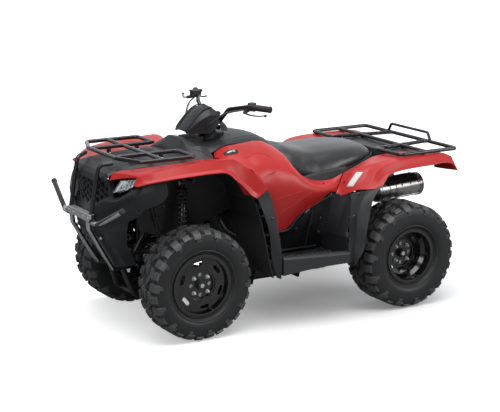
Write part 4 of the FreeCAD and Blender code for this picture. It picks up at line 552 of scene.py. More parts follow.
def tyre(name, centre, size, body, nodes_out, seed, pitches=14):
    """A knobbly tyre: carcass turned about the axle, and rows of tapered lugs that wrap the shoulders."""
    radius, width, rim_radius, rim_width = size
    half = width / 2
    bead = rim_width / 2 - 5.3
    left = [(bead, rim_radius - 10), (bead + 1, rim_radius + 9), (half * 0.86, rim_radius + 17),
            (half * 0.9 + 2.5, rim_radius + 21), (half * 0.9, rim_radius + 25), (half * 0.95, rim_radius + 33),
            (half * 0.985, (rim_radius + radius) / 2 + 4), (half * 0.955, radius - 38), (half * 0.90, radius - 22),
            (half * 0.76, radius - 16), (half * 0.4, radius - 14), (0, radius - 13.5)]
    outline = [Vector((y, r, 0)) for y, r in left] + [Vector((-y, r, 0)) for y, r in reversed(left[:-1])]
    outline = smooth_line(outline, 3, (1, len(outline) - 2))
    outline += [Vector((-bead + 2, rim_radius + 6, 0)), Vector((bead - 2, rim_radius + 6, 0))]
    count = 96
    points = [Vector((math.sin(turn) * p.y, p.x, math.cos(turn) * p.y)) for turn in circle(count) for p in outline]
    total = len(points)
    faces = [tuple(k % total for k in face) for face in quads(count + 1, len(outline), True)]

    line = smooth_line([Vector((y, r, 0)) for y, r in [
        (0, radius - 14), (half * 0.4, radius - 14.5), (half * 0.76, radius - 17), (half * 0.90, radius - 25),
        (half * 0.955, radius - 41), (half * 0.982, radius - 62)]], 8)
    run = [0.0]
    for i in range(1, len(line)):
        run.append(run[-1] + (line[i] - line[i - 1]).length)

    def surface(share, raise_by):
        want = share * run[-1]
        i = 0
        while i < len(line) - 2 and run[i + 1] < want:
            i += 1
        t = (want - run[i]) / (run[i + 1] - run[i])
        p = line[i].lerp(line[i + 1], t)
        way = (line[i + 1] - line[i]).normalized()
        return p + Vector((-way.y, way.x, 0)) * raise_by

    def lug(mirror, turn, start, stop, angle_wide, skew, tall, tall_end):
        base = len(points)
        steps, across = 4, 2
        for level in (0, 1):
            for i in range(steps + 1):
                share = start + (stop - start) * i / steps
                lift = (tall + (tall_end - tall) * i / steps) * level
                squeeze = 0.86 if level else 1.0
                inset = (0.5 - i / steps) * 0.05 * level
                p = surface(share + inset * (stop - start), lift)
                for k in range(across + 1):
                    a = turn + skew * (share - start) / (stop - start) + angle_wide * squeeze * (k / across - 0.5)
                    points.append(Vector((math.sin(a) * p.y, p.x * mirror, math.cos(a) * p.y)))
        row = across + 1
        deck = (steps + 1) * row
        for i in range(steps):
            for k in range(across):
                a = base + deck + i * row + k
                faces.append((a, a + 1, a + row + 1, a + row))
        ring = list(range(row)) + [i * row + across for i in range(1, steps + 1)]
        ring += [steps * row + k for k in range(across - 1, -1, -1)] + [i * row for i in range(steps - 1, 0, -1)]
        for n in range(len(ring)):
            a, b = base + ring[n], base + ring[(n + 1) % len(ring)]
            faces.append((a, b, b + deck, a + deck))

    step = 2 * math.pi / pitches
    chance = random.Random(seed)
    for k in range(pitches):
        for mirror, shift in ((1, 0.25), (-1, 0.75)):
            turn = step * (k + shift) + chance.uniform(-0.008, 0.008) * step
            lug(mirror, turn - step * 0.06, 0.015, 0.27, step * 0.33, -step * 0.26, 13, 13)
            lug(mirror, turn + step * 0.40, 0.20, 0.50, step * 0.30, step * 0.20, 13, 13)
            lug(mirror, turn + step * 0.02, 0.40, 0.80, step * 0.36, step * 0.05, 14, 10)
            lug(mirror, turn + step * 0.02, 0.78, 0.93, step * 0.20, step * 0.01, 8, 3)
            lug(mirror, turn + step * 0.52, 0.54, 0.72, step * 0.34, step * 0.02, 14, 11)
    mesh = solid_mesh(name, [p + Vector(centre) for p in points], faces)
    mesh.shade_smooth()
    mesh.set_sharp_from_angle(angle=math.radians(34))
    dress(new_object(name, mesh), "tyre_rubber", body, nodes_out)


def make_tyres():
    for label, side in SIDES:
        tyre("front_tyre_body_" + label, (FRONT_AXLE, FRONT_SPAN * side, AXLE_HEIGHT), FRONT_TYRE,
             label + "_front_wheel", ("front_tyre_" + label,), 3)
        tyre("rear_tyre_body_" + label, (REAR_AXLE, REAR_SPAN * side, AXLE_HEIGHT), REAR_TYRE, "rear_wheels",
             ("rear_tyres",) if side == LEFT else (), 5)


# Forms that several pieces share, in millimetres


def circle(count):
    """The turns of evenly spaced points round a circle."""
    return [2 * math.pi * k / count for k in range(count)]


def ringed(rings):
    """A closed form through rings with as many points each."""
    wide = len(rings[0])
    last = (len(rings) - 1) * wide
    faces = [tuple(range(wide)), tuple(range(last, last + wide))] + quads(len(rings), wide, True)
    return [Vector(p) for ring in rings for p in ring], faces


def rod(points, radius, *, steps=6, hard=(), sides=12, flat=1.0, tip=None):
    """A round bar along a smooth line, thinner toward its end where a tip radius is given."""
    line = smooth_line([Vector(p) for p in points], steps, hard)
    rings = []
    last = len(line) - 1
    for i, p in enumerate(line):
        ahead = (line[min(i + 1, last)] - line[max(i - 1, 0)]).normalized()
        over = ahead.cross(Vector((0, 0, 1)))
        if over.length < 0.1:
            over = ahead.cross(Vector((0, 1, 0)))
        over.normalize()
        up = over.cross(ahead)
        wide = radius + ((tip or radius) - radius) * i / last
        ring = [p + (over * math.cos(a) + up * math.sin(a) * flat) * wide for a in circle(sides)]
        if i == 0:
            rings.append([p + (q - p) * 0.7 - ahead * wide * 0.3 for q in ring])
        rings.append(ring)
        if i == last:
            rings.append([p + (q - p) * 0.7 + ahead * wide * 0.3 for q in ring])
    return ringed(rings)


def turned(profile, centre, axis, segments=24, loop=False):
    """A form turned about an axis from pairs of distance along it and radius; a loop leaves its middle open."""
    way = Vector(axis).normalized().to_track_quat("Z", "Y").to_matrix()
    rings = [[Vector(centre) + way @ Vector((math.cos(a) * radius, math.sin(a) * radius, along))
              for a in circle(segments)] for along, radius in profile]
    if loop:
        points, faces = ringed(rings + rings[:1])
        return points, faces[2:]
    return ringed(rings)


def block(centre, size, ahead=(1, 0, 0), up=(0, 0, 1)):
    """A box whose long ways follow ahead and up."""
    ahead = Vector(ahead).normalized()
    side = Vector(up).cross(ahead).normalized()
    up = ahead.cross(side)
    a, b, c = ahead * size[0] / 2, side * size[1] / 2, up * size[2] / 2
    centre = Vector(centre)
    return ringed([[centre + a * k + b + c, centre + a * k - b + c, centre + a * k - b - c, centre + a * k + b - c]
                   for k in (-1, 1)])


def prism(outline, push):
    """A slab between an outline and its copy moved by push."""
    return ringed([[Vector(p) for p in outline], [Vector(p) + Vector(push) for p in outline]])


def bolt(place, axis, radius=6, high=5):
    """A six-sided head on its washer."""
    washer = turned([(-1, radius * 1.6), (1.4, radius * 1.6)], place, axis, 20)
    head = turned([(1, radius), (high, radius), (high + 0.8, radius * 0.8)], place, axis, 6)
    return [washer, head]


def screw(place, axis, radius=6):
    """A domed head with a dimple."""
    return [turned([(-1, radius * 1.15), (0.6, radius * 1.15), (0.8, radius), (radius * 0.35, radius * 0.9),
                    (radius * 0.5, radius * 0.6), (radius * 0.5, radius * 0.35), (radius * 0.2, radius * 0.3)],
                   place, axis, 18)]


def flipped(forms):
    """The same forms on the vehicle's other side."""
    return [([Vector((p.x, -p.y, p.z)) for p in points], faces) for points, faces in forms]


def both(forms):
    """The forms of the left side and their copies on the right."""
    return forms + flipped(forms)


def merge(name, forms, slot, *, body="chassis", nodes_out=(), bevel=0.0):
    """One object from several forms."""
    points, faces = [], []
    for some, more in forms:
        base = len(points)
        points += some
        faces += [tuple(base + i for i in face) for face in more]
    mesh = solid_mesh(name, points, faces, weld=True)
    mesh.shade_smooth()
    mesh.set_sharp_from_angle(angle=math.radians(36))
    obj = new_object(name, mesh)
    if bevel:
        soften(obj, bevel)
    return dress(obj, slot, body, nodes_out)


# Seat


def plump(obj, cap, pressure=4.0, frames=20):
    """Blows a remeshed pad up a little with cloth; the cap, in millimetres, is as far as a point may move."""
    start = [v.co.copy() for v in obj.data.vertices]
    facing = [v.normal.copy() for v in obj.data.vertices]
    air = obj.modifiers.new("air", "CLOTH")
    air.settings.use_pressure = True
    air.settings.uniform_pressure_force = pressure
    air.settings.effector_weights.gravity = 0
    air.point_cache.frame_start = 1
    air.point_cache.frame_end = frames
    for step in range(1, frames + 1):
        scene.frame_set(step)
    swollen = obj.evaluated_get(bpy.context.evaluated_depsgraph_get())
    moved = [v.co.copy() for v in swollen.data.vertices]
    obj.modifiers.remove(air)
    scene.frame_set(1)
    for vertex, a, b, n in zip(obj.data.vertices, start, moved, facing):
        move = b - a
        if move.length > cap * MM:
            move *= cap * MM / move.length
        vertex.co = a + move * min(1.0, max(0.0, (n.z + 0.75) * 2))


def bake(obj):
    """Applies the modifiers that the object carries."""
    graph = bpy.context.evaluated_depsgraph_get()
    mesh = bpy.data.meshes.new_from_object(obj.evaluated_get(graph))
    obj.modifiers.clear()
    obj.data = mesh


def make_seat():
    stations = [
        (rear(610), 62, (190, 18), (178, 44), (118, 60)), (rear(572), 64, (236, -64), (223, -20), (184, 34)),
        (rear(512), 50, (252, -90), (244, -47), (196, 16)), (rear(422), 32, (264, -101), (256, -57), (210, 2)),
        (rear(322), 35, (266, -92), (258, -47), (214, 4)), (rear(237), 38, (254, -72), (250, -35), (210, 8)),
        (rear(107), 34, (229, -45), (224, -20), (187, 11)), (rear(17), 21, (182, -25), (178, -12), (146, 6)),
        (rear(-20), 2, (128, -24), (121, -16), (98, -6)),
    ]
    rows = []
    for x, crown, edge, bulge, shoulder in stations:
        half = [(0, edge[1] + 1), (edge[0] - 16, edge[1] + 1), edge, bulge, shoulder,
                (shoulder[0] * 0.6, crown - 6), (0, crown)]
        ring = [(x, y, SEAT + z) for y, z in half] + [(x, -y, SEAT + z) for y, z in reversed(half[1:-1])]
        rows.append([Vector(p) for p in ring + ring[:1]])
    rings = [row[:-1] for row in smooth_grid(rows, (6, 8), (), (1, 11))]
    seat = new_object("seat_pad", solid_mesh("seat_pad", *ringed(rings)))
    cells = seat.modifiers.new("cells", "REMESH")
    cells.mode = "VOXEL"
    cells.voxel_size = 8 * MM
    even = seat.modifiers.new("even", "SMOOTH")
    even.iterations = 24
    bake(seat)
    plump(seat, 6)
    calm = seat.modifiers.new("calm", "SMOOTH")
    calm.iterations = 10
    fine = seat.modifiers.new("fine", "SUBSURF")
    fine.levels = 1
    fine.render_levels = 1
    bake(seat)
    seat.data.shade_smooth()
    dress(seat, "seat_vinyl", "chassis", ("seat",))
    line = [(x, edge[0] - 1, SEAT + edge[1] - 5) for x, crown, edge, bulge, shoulder in stations]
    merge("seat_pan_edge", both([rod(line, 5.5, steps=6, sides=8, flat=1.3)]), "black_plastic")


# Steering


def grip_line(share, side=1):
    """A point along one end of the bar, from its last bend to its tip."""
    start, end = Vector((208, 272, 1158)), Vector((150, 409, 1156))
    p = start.lerp(end, share)
    return Vector((p.x, p.y * side, p.z))


def beside(spot, *ways):
    """The places that lie these ways off a spot."""
    return [spot + Vector(way) for way in ways]


def make_steering():
    """Grips, housings, levers and reservoir at the bar's ends, and the cover with its ribs and meter."""
    along = (grip_line(1) - grip_line(0)).normalized()
    reach = (grip_line(1) - grip_line(0)).length
    start = 0.26 * reach
    profile = [(start, 14), (start + 1, 21.5), (start + 5, 22), (start + 6, 16.5)]
    spot, end = start + 9, reach - 9
    count = 15
    pitch = (end - spot) / count
    for k in range(count):
        profile += [(spot + pitch * k, 15.6), (spot + pitch * (k + 0.2), 17.0), (spot + pitch * (k + 0.62), 17.0),
                    (spot + pitch * (k + 0.85), 15.6)]
    profile += [(end + 1, 18.5), (end + 6, 18.5), (end + 8.8, 15), (end + 9, 6)]
    grip = [turned(profile, grip_line(0), along, 28)]
    merge("bar_grips", both(grip), "grip_rubber", body="steering", nodes_out=("hand_controls",))

    perch = grip_line(0.19)
    up = Vector((0.1, 0, 1)).normalized()
    housing = [
        turned([(0.1 * reach, 14), (0.1 * reach + 1, 19), (0.14 * reach, 21), (0.2 * reach, 22), (0.25 * reach, 21),
                (start - 1, 14)], grip_line(0), along, 24),
        block(perch + Vector((20, -6, -2)), (30, 34, 30), along.cross(up), up),
        block(perch + Vector((-6, -12, 16)), (34, 30, 12), along, up),
        rod(beside(perch, (18, 0, -12), (42, 6, -18), (58, 16, -20)), 9, sides=10),
    ]
    housing += screw(perch + Vector((-12, -4, 21)), (-0.1, 0, 1), 3.5)
    housing += screw(perch + Vector((8, -24, 21)), (0.1, 0, 1), 3.5)
    merge("control_housings", both(housing), "black_plastic", body="steering", bevel=2.0)
    lever = [
        rod(beside(perch, (58, 12, -20), (56, 48, -25), (42, 92, -28), (24, 128, -26), (12, 150, -22)), 7, steps=7,
            flat=0.7, tip=4.5),
        turned([(-7, 3), (-5, 6.5), (0, 8), (5, 6.5), (7, 3)], perch + Vector((11, 152, -22)), (1, 0.5, 0), 16),
    ]
    merge("hand_levers", both(lever), "black_steel", body="steering")
    buttons = [
        turned([(0, 7), (5, 7), (6.5, 5)], perch + Vector((-16, -2, 12)), (-1, 0, 0.6), 16),
        block(perch + Vector((-17, -22, 8)), (12, 16, 7), (-1, 0, 0.5), up),
    ]
    merge("switch_buttons", buttons, "lamp_red", body="steering", bevel=1.2)
    right = grip_line(0.19, -1)
    tank = [
        block(right + Vector((34, 32, 2)), (40, 50, 30)),
        block(right + Vector((34, 32, 20)), (44, 54, 7)),
    ]
    for x, y in ((18, 12), (50, 12), (18, 52), (50, 52)):
        tank += screw(right + Vector((x, y, 23.5)), (0, 0, 1), 3)
    tank.append(turned([(0, 7), (2, 7), (2.2, 5)], right + Vector((14, 32, 2)), (-1, 0, 0), 18))
    tank.append(rod(beside(right, (8, 8, -10), (-20, 24, -18), (-34, 40, -14)), 7, flat=0.5, tip=9))
    merge("brake_reservoir", tank, "black_plastic", body="steering", bevel=2.0)

    stations = [
        (466, 1008, [(60, 0), (60, 4), (50, 7), (0, 9)]), (456, 1006, [(70, 0), (70, 18), (56, 24), (0, 28)]),
        (430, 1005, [(79, 0), (80, 40), (62, 53), (0, 60)]), (400, 1004, [(88, 0), (90, 66), (68, 84), (0, 94)]),
        (368, 1003, [(95, 0), (97, 86), (72, 110), (0, 121)]), (336, 1003, [(98, 0), (98, 96), (72, 124), (0, 136)]),
        (298, 1030, [(96, 0), (94, 64), (66, 94), (0, 107)]), (264, 1074, [(88, 0), (84, 14), (58, 28), (0, 37)]),
    ]
    rows = []
    for x, low, pairs in stations:
        left = [(x, y, low + z) for y, z in pairs]
        rows.append([(a, -b, c) for a, b, c in left[:-1]] + [(a, b, c) for a, b, c in reversed(left)])
    shell("bar_cover_shell", rows, "charcoal_plastic", (0.3, 0, 1), steps=(6, 5), hard_rows=(1,),
          hard_cols=(1, 2, 4, 5), thick=3, bevel=1.2, body="steering", nodes_out=("handlebar_cover",))
    # The thin black lines beside the ribs are painted shade in the cover's grooves.
    ribs, groove_shade_lines = [], []
    line = [(464, 44, 1018), (456, 48, 1033), (430, 50, 1063.5), (400, 50, 1095), (368, 50, 1121), (336, 50, 1136),
            (304, 48, 1134)]
    for y in (-1, 1):
        ribs.append(rod([(a, (b + 7) * y, c - 0.5) for a, b, c in line], 6, steps=5, sides=10, flat=0.5))
        groove_shade_lines.append(rod([(a, (b - 2) * y, c + 1) for a, b, c in line], 2.2, steps=5, sides=8))
    merge("bar_cover_ribs", ribs, "charcoal_plastic", body="steering")
    merge("bar_cover_groove_shade", groove_shade_lines, "black_plastic", body="steering")
    inner = [
        block((372, 0, 1024), (120, 150, 34)), block((318, 0, 1086), (30, 160, 60)),
        rod([(300, 60, 1012), (298, 66, 1060), (268, 70, 1108)], 12),
        rod([(300, -60, 1012), (298, -66, 1060), (268, -70, 1108)], 12),
        turned([(0, 46), (16, 46), (19, 42), (19, 38), (14, 36)], (306, 0, 1104), (-0.75, 0, 0.66), 40),
    ]
    merge("bar_cover_core", inner, "black_plastic", body="steering", bevel=3.0)
    rear_part = [
        [(262, -86, 1008), (262, -60, 1050), (262, 0, 1064), (262, 60, 1050), (262, 86, 1008)],
        [(236, -84, 1006), (232, -62, 1040), (230, 0, 1054), (232, 62, 1040), (236, 84, 1006)],
        [(214, -72, 1004), (212, -54, 1026), (212, 0, 1034), (212, 54, 1026), (214, 72, 1004)],
    ]
    shell("bar_cover_back", rear_part, "charcoal_plastic", (-0.5, 0, 1), steps=(6, 5), thick=3, bevel=1.2,
          body="steering")
    face = [turned([(0, 37), (1.5, 37), (2.0, 30)], (297, 0, 1112), (-0.75, 0, 0.66), 40)]
    merge("meter_glass", face, "lamp_clear", body="steering")


def make_cables():
    """Held cables from the bar ends down past the cover to the frame's head."""
    lines = []
    for k, (a, y, drop) in enumerate(((0.1, 1, 0), (0.14, 1, 6), (0.1, -1, 0), (0.15, -1, 7))):
        spot = grip_line(a, y)
        lines.append(rod([spot + Vector((22, -14 * y, -12)), (300 + 6 * k, 190 * y, 1120 - drop),
                          (352 + 4 * k, 126 * y, 1060 - drop), (352 + 4 * k, 62 * y + 8 * k, 1022 - drop),
                          (330 + 5 * k, 28 * y + 6 * k, 1012 - drop)], 3.8, steps=8, sides=8))
    merge("control_cables", lines, "grip_rubber", body="steering")


# Wheels and springs


def make_wheel_details():
    """Nuts and hub caps, the rims' raised lips and the tyre valves."""
    wheels = (("front", FRONT_AXLE, FRONT_SPAN, FRONT_TYRE, 26), ("rear", REAR_AXLE, REAR_SPAN, REAR_TYRE, 92))
    for label, side in SIDES:
        for kind, axle, span, (_, _, rim_r, rim_width), inset in wheels:
            half = rim_width / 2
            centre = Vector((axle, span * side, AXLE_HEIGHT))
            body = label + "_front_wheel" if kind == "front" else "rear_wheels"
            face = centre + Vector((0, (half - inset) * side, 0))
            out = (0, side, 0)
            nuts = []
            for k in range(4):
                turn = math.radians(45 + 90 * k)
                place = face + Vector((55 * math.sin(turn), 0, 55 * math.cos(turn)))
                nuts.append(turned([(-1, 12), (1.5, 12), (1.5, 9.5), (8, 9.5)], place, out, 6))
                nuts.append(turned([(7.5, 8.6), (12, 8.4), (16, 7), (18.5, 4), (19, 0.5)], place, out, 20))
            merge("wheel_nuts_" + kind + "_" + label, nuts, "hub_steel", body=body)
            cap = [turned([(-2, 26), (3, 26), (5, 24), (22, 23.5), (24, 21.5), (24, 12), (21, 10), (20.5, 1)],
                          face, out, 36)]
            merge("wheel_cap_" + kind + "_" + label, cap, "black_plastic", body=body)
            lip = centre + Vector((0, half * side, 0))
            rings = [
                turned([(-2, 71), (2, 72), (3, 76), (2, 80), (-2, 81)], face + Vector((0, 7 * side, 0)), out, 64, True),
                turned([(-7, rim_r - 10), (-1, rim_r - 9), (1.5, rim_r - 3), (1.5, rim_r + 1.5), (-1, rim_r + 3.5),
                        (-5, rim_r + 3), (-7, rim_r)], lip, out, 96, True),
            ]
            merge("rim_lips_" + kind + "_" + label, rings, "rim_black", body=body)
            valve_turn, reach = math.radians(200), rim_r - 26
            seat = centre + Vector((reach * math.sin(valve_turn), (half - 14) * side, reach * math.cos(valve_turn)))
            valve = [turned([(-6, 7), (2, 6), (8, 4.2), (22, 4.2)], seat, out, 14),
                     turned([(21, 5), (30, 5), (32, 3.5)], seat, out, 14)]
            merge("tyre_valve_" + kind + "_" + label, valve, "black_plastic", body=body)


def coil(low, high, radius, wire, turns):
    """A helical spring from low to high, its end turns closed up."""
    axis = high - low
    up = axis.normalized()
    way = up.to_track_quat("Z", "Y").to_matrix()
    count = int(turns * 22)
    rings = []
    for i in range(count + 1):
        t = i / count
        share = t - 0.028 * math.sin(2 * math.pi * t)
        turn = 2 * math.pi * turns * t
        out = way @ Vector((math.cos(turn), math.sin(turn), 0))
        p = low + way @ Vector((0, 0, axis.length * share)) + out * radius
        rings.append([p + (out * math.cos(a) + up * math.sin(a)) * wire for a in circle(8)])
    return ringed(rings)


def make_springs():
    places = {
        "front_shocks": (Vector((596, 254, 229)), Vector((568, 208, 779)), 0.5, 0.93, 29, 16, 10),
        "rear_shocks": (Vector((-624, 200, 334)), Vector((-576, 150, 684)), 0.22, 0.9, 29, 16, 8),
    }
    for name, (foot, head, low, high, wide, damper, turns) in places.items():
        axis = (head - foot).normalized()
        a, b = foot.lerp(head, low), foot.lerp(head, high)
        long = (head - foot).length
        near, far = long * low, long * high
        spring = [coil(a + axis * 4, b - axis * 4, wide - 4.2, 4.4, turns)]
        kind = name.split("_")[0]
        merge(kind + "_springs", both(spring), "spring_black", nodes_out=(name,))
        damping = [
            turned([(12, 9), (20, damper - 2), (24, damper), (near - 6, damper), (near, damper + 2),
                    (far * 0.86, damper + 2), (far * 0.88, damper - 4)], foot, axis, 28),
            turned([(far * 0.85, 7), (long - 6, 7)], foot, axis, 16),
            turned([(near - 9, wide - 4), (near - 8, wide + 2), (near - 3, wide + 3), (near, wide + 1),
                    (near + 1, damper)], foot, axis, 32),
            turned([(far - 1, damper - 6), (far, wide + 1), (far + 4, wide + 3), (far + 8, wide), (far + 12, 14),
                    (long - 14, 11)], foot, axis, 32),
        ]
        pins = []
        for eye in (foot, head):
            damping.append(turned([(-15, 11), (-14, 13), (14, 13), (15, 11)], eye, (1, 0, 0.05), 24))
            pins += bolt(eye + Vector((16, 0, 0)), (1, 0, 0.05), 7, 6)
        merge(kind + "_dampers", both(damping), "black_steel", bevel=0.8)
        merge(kind + "_shock_bolts", both(pins), "hub_steel")


# Front end


def make_lamps():
    """Headlamps: a dark housing, bright stepped reflectors, a bulb bowl and a clear lens over them."""
    face = [Vector((987, 238, 775)), Vector((950, 270, 844)), Vector((898, 346, 857)), Vector((918, 346, 820)),
            Vector((944, 300, 791))]
    centre = sum(face, Vector()) / 5
    ahead = Vector((0.93, 0.35, 0.05))

    def inside(share, push):
        return [centre + (p - centre) * share + ahead * push for p in face]

    back = [p + Vector((-60, -14, 0)) for p in face]
    rim = ringed([back, inside(1.0, 0), inside(0.95, 0.5), inside(0.93, -7), inside(0.9, -20)])
    merge("headlamp_housings", both([rim]), "black_plastic", nodes_out=("headlamps",), bevel=1.0)
    shine = []
    a, b, c, d = inside(0.88, -14)[:4]
    for k in range(4):
        s0, s1 = k / 4 + 0.02, k / 4 + 0.2
        top0, top1 = b.lerp(c, s0), b.lerp(c, s1)
        low0, low1 = a.lerp(d, s0), a.lerp(d, s1)
        shine.append(prism([low0, top0, top1 + ahead * 6, low1 + ahead * 6], ahead * -5))
    shine.append(prism([a + ahead * 9, a.lerp(b, 0.16) + ahead * 11, d.lerp(c, 0.2) + ahead * 11, d + ahead * 9],
                       ahead * -4))
    shine.append(prism([a.lerp(b, 0.2) + ahead * 9, a.lerp(b, 0.98) + ahead * 9,
                        a.lerp(b, 0.9).lerp(c, 0.14) + ahead * 5, a.lerp(b, 0.2).lerp(d, 0.14) + ahead * 5],
                       ahead * -4))
    bowl = centre + ahead * -8 + Vector((0, -6, 2))
    shine.append(turned([(-8, 8), (2, 22), (4, 24), (4, 22), (-3, 8)], bowl, ahead, 28, True))
    shine.append(turned([(-4, 6), (6, 6), (9, 4)], bowl, ahead, 16))
    merge("headlamp_reflectors", both(shine), "hub_steel", bevel=0.6)
    lens = ringed([inside(0.94, 0.4), inside(0.97, 2.4), inside(0.9, 4.0), inside(0.86, 4.4)])
    merge("headlamp_lenses", both([lens]), "lamp_clear")


def make_nose():
    """Dark backing and radiator behind the grille, its honeycomb and frame, and the panel above it."""
    backing = [block((962, 0, 742), (10, 352, 168)), block((952, 0, 742), (22, 320, 150))]
    fins = [block((969.5, 0, 664 + 9 * k), (3, 330, 2.4)) for k in range(18)]
    merge("radiator_core", backing + fins, "black_steel")
    cells = []
    for i in range(-5, 6):
        for j in range(4):
            y = i * 34
            z = 701 + j * 34 + (17 if i % 2 else 0)
            if abs(y) < 176 and z < 816:
                share = (abs(y) / 188) ** 1.6
                ahead = 1003 + (816 - z) * 0.07 - 26 * share
                if z < 703:
                    ahead += (703 - z) * 0.3
                lean = (abs(y) > 100) * 0.24 * (1 if y > 0 else -1) + 0.05 * (y / 100)
                axis = Vector((1, lean, 0))
                cells.append(turned([(-4, 15.4), (2.4, 15.0), (2.4, 18.4), (0, 19.4), (-4, 19.2)], (ahead, y, z),
                                    axis, 6, True))
    merge("honeycomb_rims", cells, "charcoal_plastic", bevel=0.5)
    outline = [(1000, 0, 834), (996, 96, 833), (978, 178, 826), (973, 187, 790), (984, 189, 703), (1002, 186, 664),
               (1022, 100, 650), (1026, 0, 650)]
    edges = [rod([(x, y * k, z) for x, y, z in outline], 5, sides=10, hard=(2, 5)) for k in (LEFT, RIGHT)]
    merge("grille_frame", edges, "charcoal_plastic")
    panel = [prism([(1006, -120, 838), (1006, 120, 838), (1008, 103.2, 812), (1008, -103.2, 812)], (-7, 0, 0))]
    merge("nose_panel", panel, "charcoal_plastic", bevel=1.5)


def make_guard():
    """Bare metal-grey plate and flat struts of the guard, its horns with dark caps."""
    plate = [
        prism([(1070, 150, 632), (1071, 128, 612), (1071, -128, 612), (1070, -150, 632), (1069, -141, 650),
               (1069, 141, 650)], (-8, 0, 0)),
        prism([(1070, 141, 650), (1070, -141, 650), (1038, -138, 654), (1038, 138, 654)], (0, 0, -5)),
    ]
    merge("guard_plate", plate, "guard_grey", bevel=2.0)
    struts = []
    for side in (LEFT, RIGHT):
        line = [(1062, 107, 640), (1060, 104, 596), (1058, 103, 566), (1012, 100, 484), (966, 96, 405), (924, 92, 336)]
        for (x0, y0, z0), (x1, y1, z1) in zip(line, line[1:]):
            a, b = Vector((x0 + 3, y0 * side, z0)), Vector((x1 + 3, y1 * side, z1))
            struts.append(block((a + b) / 2, ((b - a).length + 3, 34, 8), b - a, Vector((0.9, 0, 0.4))))
    merge("guard_struts", struts, "guard_grey", bevel=1.5)
    horn = [rod([(1055, 132, 612), (1056, 192, 614), (1046, 250, 634), (1034, 330, 672), (1021, 417, 716)], 13.6,
                steps=7, sides=18, flat=0.92)]
    cap = [turned([(-10, 14.6), (-9, 15.4), (6, 15.4), (9, 13), (10, 8)], (1020, 425, 722), (-13, 87, 44), 24)]
    merge("guard_horns", both(horn), "guard_grey")
    merge("guard_horn_caps", both(cap), "black_plastic")
    joints = []
    for side in (LEFT, RIGHT):
        for x, y, z in ((1068, 120, 632), (1068, 60, 630)):
            joints += bolt((x, y * side, z), (1, 0, 0.1), 6.5, 5)
    merge("guard_bolts", joints, "hub_steel")


def make_wing_details():
    """Screws, the seam to the darker rear plate and the pressed bulges of each wing."""
    heads = screw((front(330), 345, 800), (0.75, 0.65, 0.1), 7.5) + screw((front(402), 208, 742), (0.8, 0.6, 0.1), 6)
    line = [(313, 388, 806), (330, 372, 770), (318, 366, 720), (298, 372, 684)]
    seam = [rod([(front(x), y, z) for x, y, z in line], 2.2, steps=8, sides=6)]
    merge("wing_screws", both(heads), "black_steel")
    merge("wing_seams", both(seam), "black_plastic")
    rows = [[(front(x), y, z) for x, y, z in row] for row in [
        [(436, 146, 701), (436, 148, 678), (428, 148, 655)], [(412, 204, 722), (421, 210, 698), (409, 208, 664)],
        [(388, 262, 744), (394, 270, 722), (380, 266, 688)], [(360, 318, 766), (362, 322, 746), (350, 316, 718)],
    ]]
    side_shells("wing_bulge_", rows, "charcoal_plastic", (1, 0.6, 0), thick=3, bevel=1.0)


def make_skid_details():
    """Seam band, towing hole and bolts of the skid plate."""
    forms = [rod([(front(412), 150, 548), (front(429), 108, 549), (front(430), 0, 549)], 3, steps=5, sides=8,
                 hard=(1,))]
    merge("skid_seam", both(forms), "black_plastic")
    ring = [turned([(-3, 13), (2, 13), (3.2, 11), (3.2, 8), (0, 7)], (front(400), 121, 518), (0.86, 0.5, -0.05), 28)]
    merge("skid_ring", both(ring), "charcoal_plastic")
    heads = bolt((front(402), 121, 518), (0.86, 0.5, -0.05), 6.5, 5)
    merge("skid_bolts", both(heads), "hub_steel")


def make_arches():
    """Differential with its boots, hoses and their clips, seen through the front arches."""
    high = 300
    gear = [
        turned([(-70, 34), (-62, 52), (-20, 62), (20, 62), (62, 52), (70, 34)], (front(10), 0, high), (0, 1, 0), 40),
        turned([(0, 48), (60, 40), (96, 30), (120, 26)], (front(-30), 0, high), (-1, 0, 0), 32),
    ]
    for out in (0, 10, 20, 30, 40):
        fold = [(0, 30 - out * 0.25), (4, 34 - out * 0.3), (8, 30 - out * 0.25)]
        gear += [turned(fold, (front(2), (74 + out) * side, high), (0, side, 0), 28) for side in (LEFT, RIGHT)]
    merge("front_drive", gear, "black_steel")
    hoses = []
    for dx, dz in ((0, 0), (16, 6)):
        line = [(96, 156, 770), (120, 168, 690 + dz), (100, 172, 600), (76, 164, 520), (70, 140, 440)]
        hoses.append(rod([(front(x + dx), y, z) for x, y, z in line], 6, steps=8, sides=10))
    line = [(-60, 154, 690), (-90, 160, 620), (-70, 168, 560), (-96, 160, 480)]
    hoses.append(rod([(front(x), y, z) for x, y, z in line], 7, steps=8, sides=10))
    merge("arch_hoses", both(hoses), "grip_rubber")
    clips = []
    for x, z in ((118, 690), (90, 600), (74, 520)):
        clips.append(turned([(-5, 13), (-4, 14), (4, 14), (5, 13)], (front(x + 6), 170 if z > 560 else 164, z),
                            (0.2, 0, 1), 18))
    for x, z in ((60, 650), (-40, 640), (150, 720)):
        clips += bolt((front(x), 167, z), (0, 1, 0), 7, 5)
    merge("arch_clips", both(clips), "black_steel")


# Seams, screws and folds laid on the shells


def lay(obj, place, lift=0.0):
    """The point of a shell's outer face nearest to a place in millimetres, raised by lift, and its normal."""
    _, spot, normal, _ = obj.closest_point_on_mesh(Vector(place) * MM)
    return spot / MM + normal * lift, normal


def laid_screws(obj, places, lift, radius):
    heads = []
    for place in places:
        spot, normal = lay(obj, place, lift)
        heads += screw(spot, normal, radius)
    return heads


def laid_line(obj, points, lift, push=(0, 24, 8)):
    """A line brought down on a shell's outer face from a little outside it."""
    line = smooth_line([Vector(p) + Vector(push) for p in points], 6)
    return [lay(obj, p, lift)[0] for p in line]


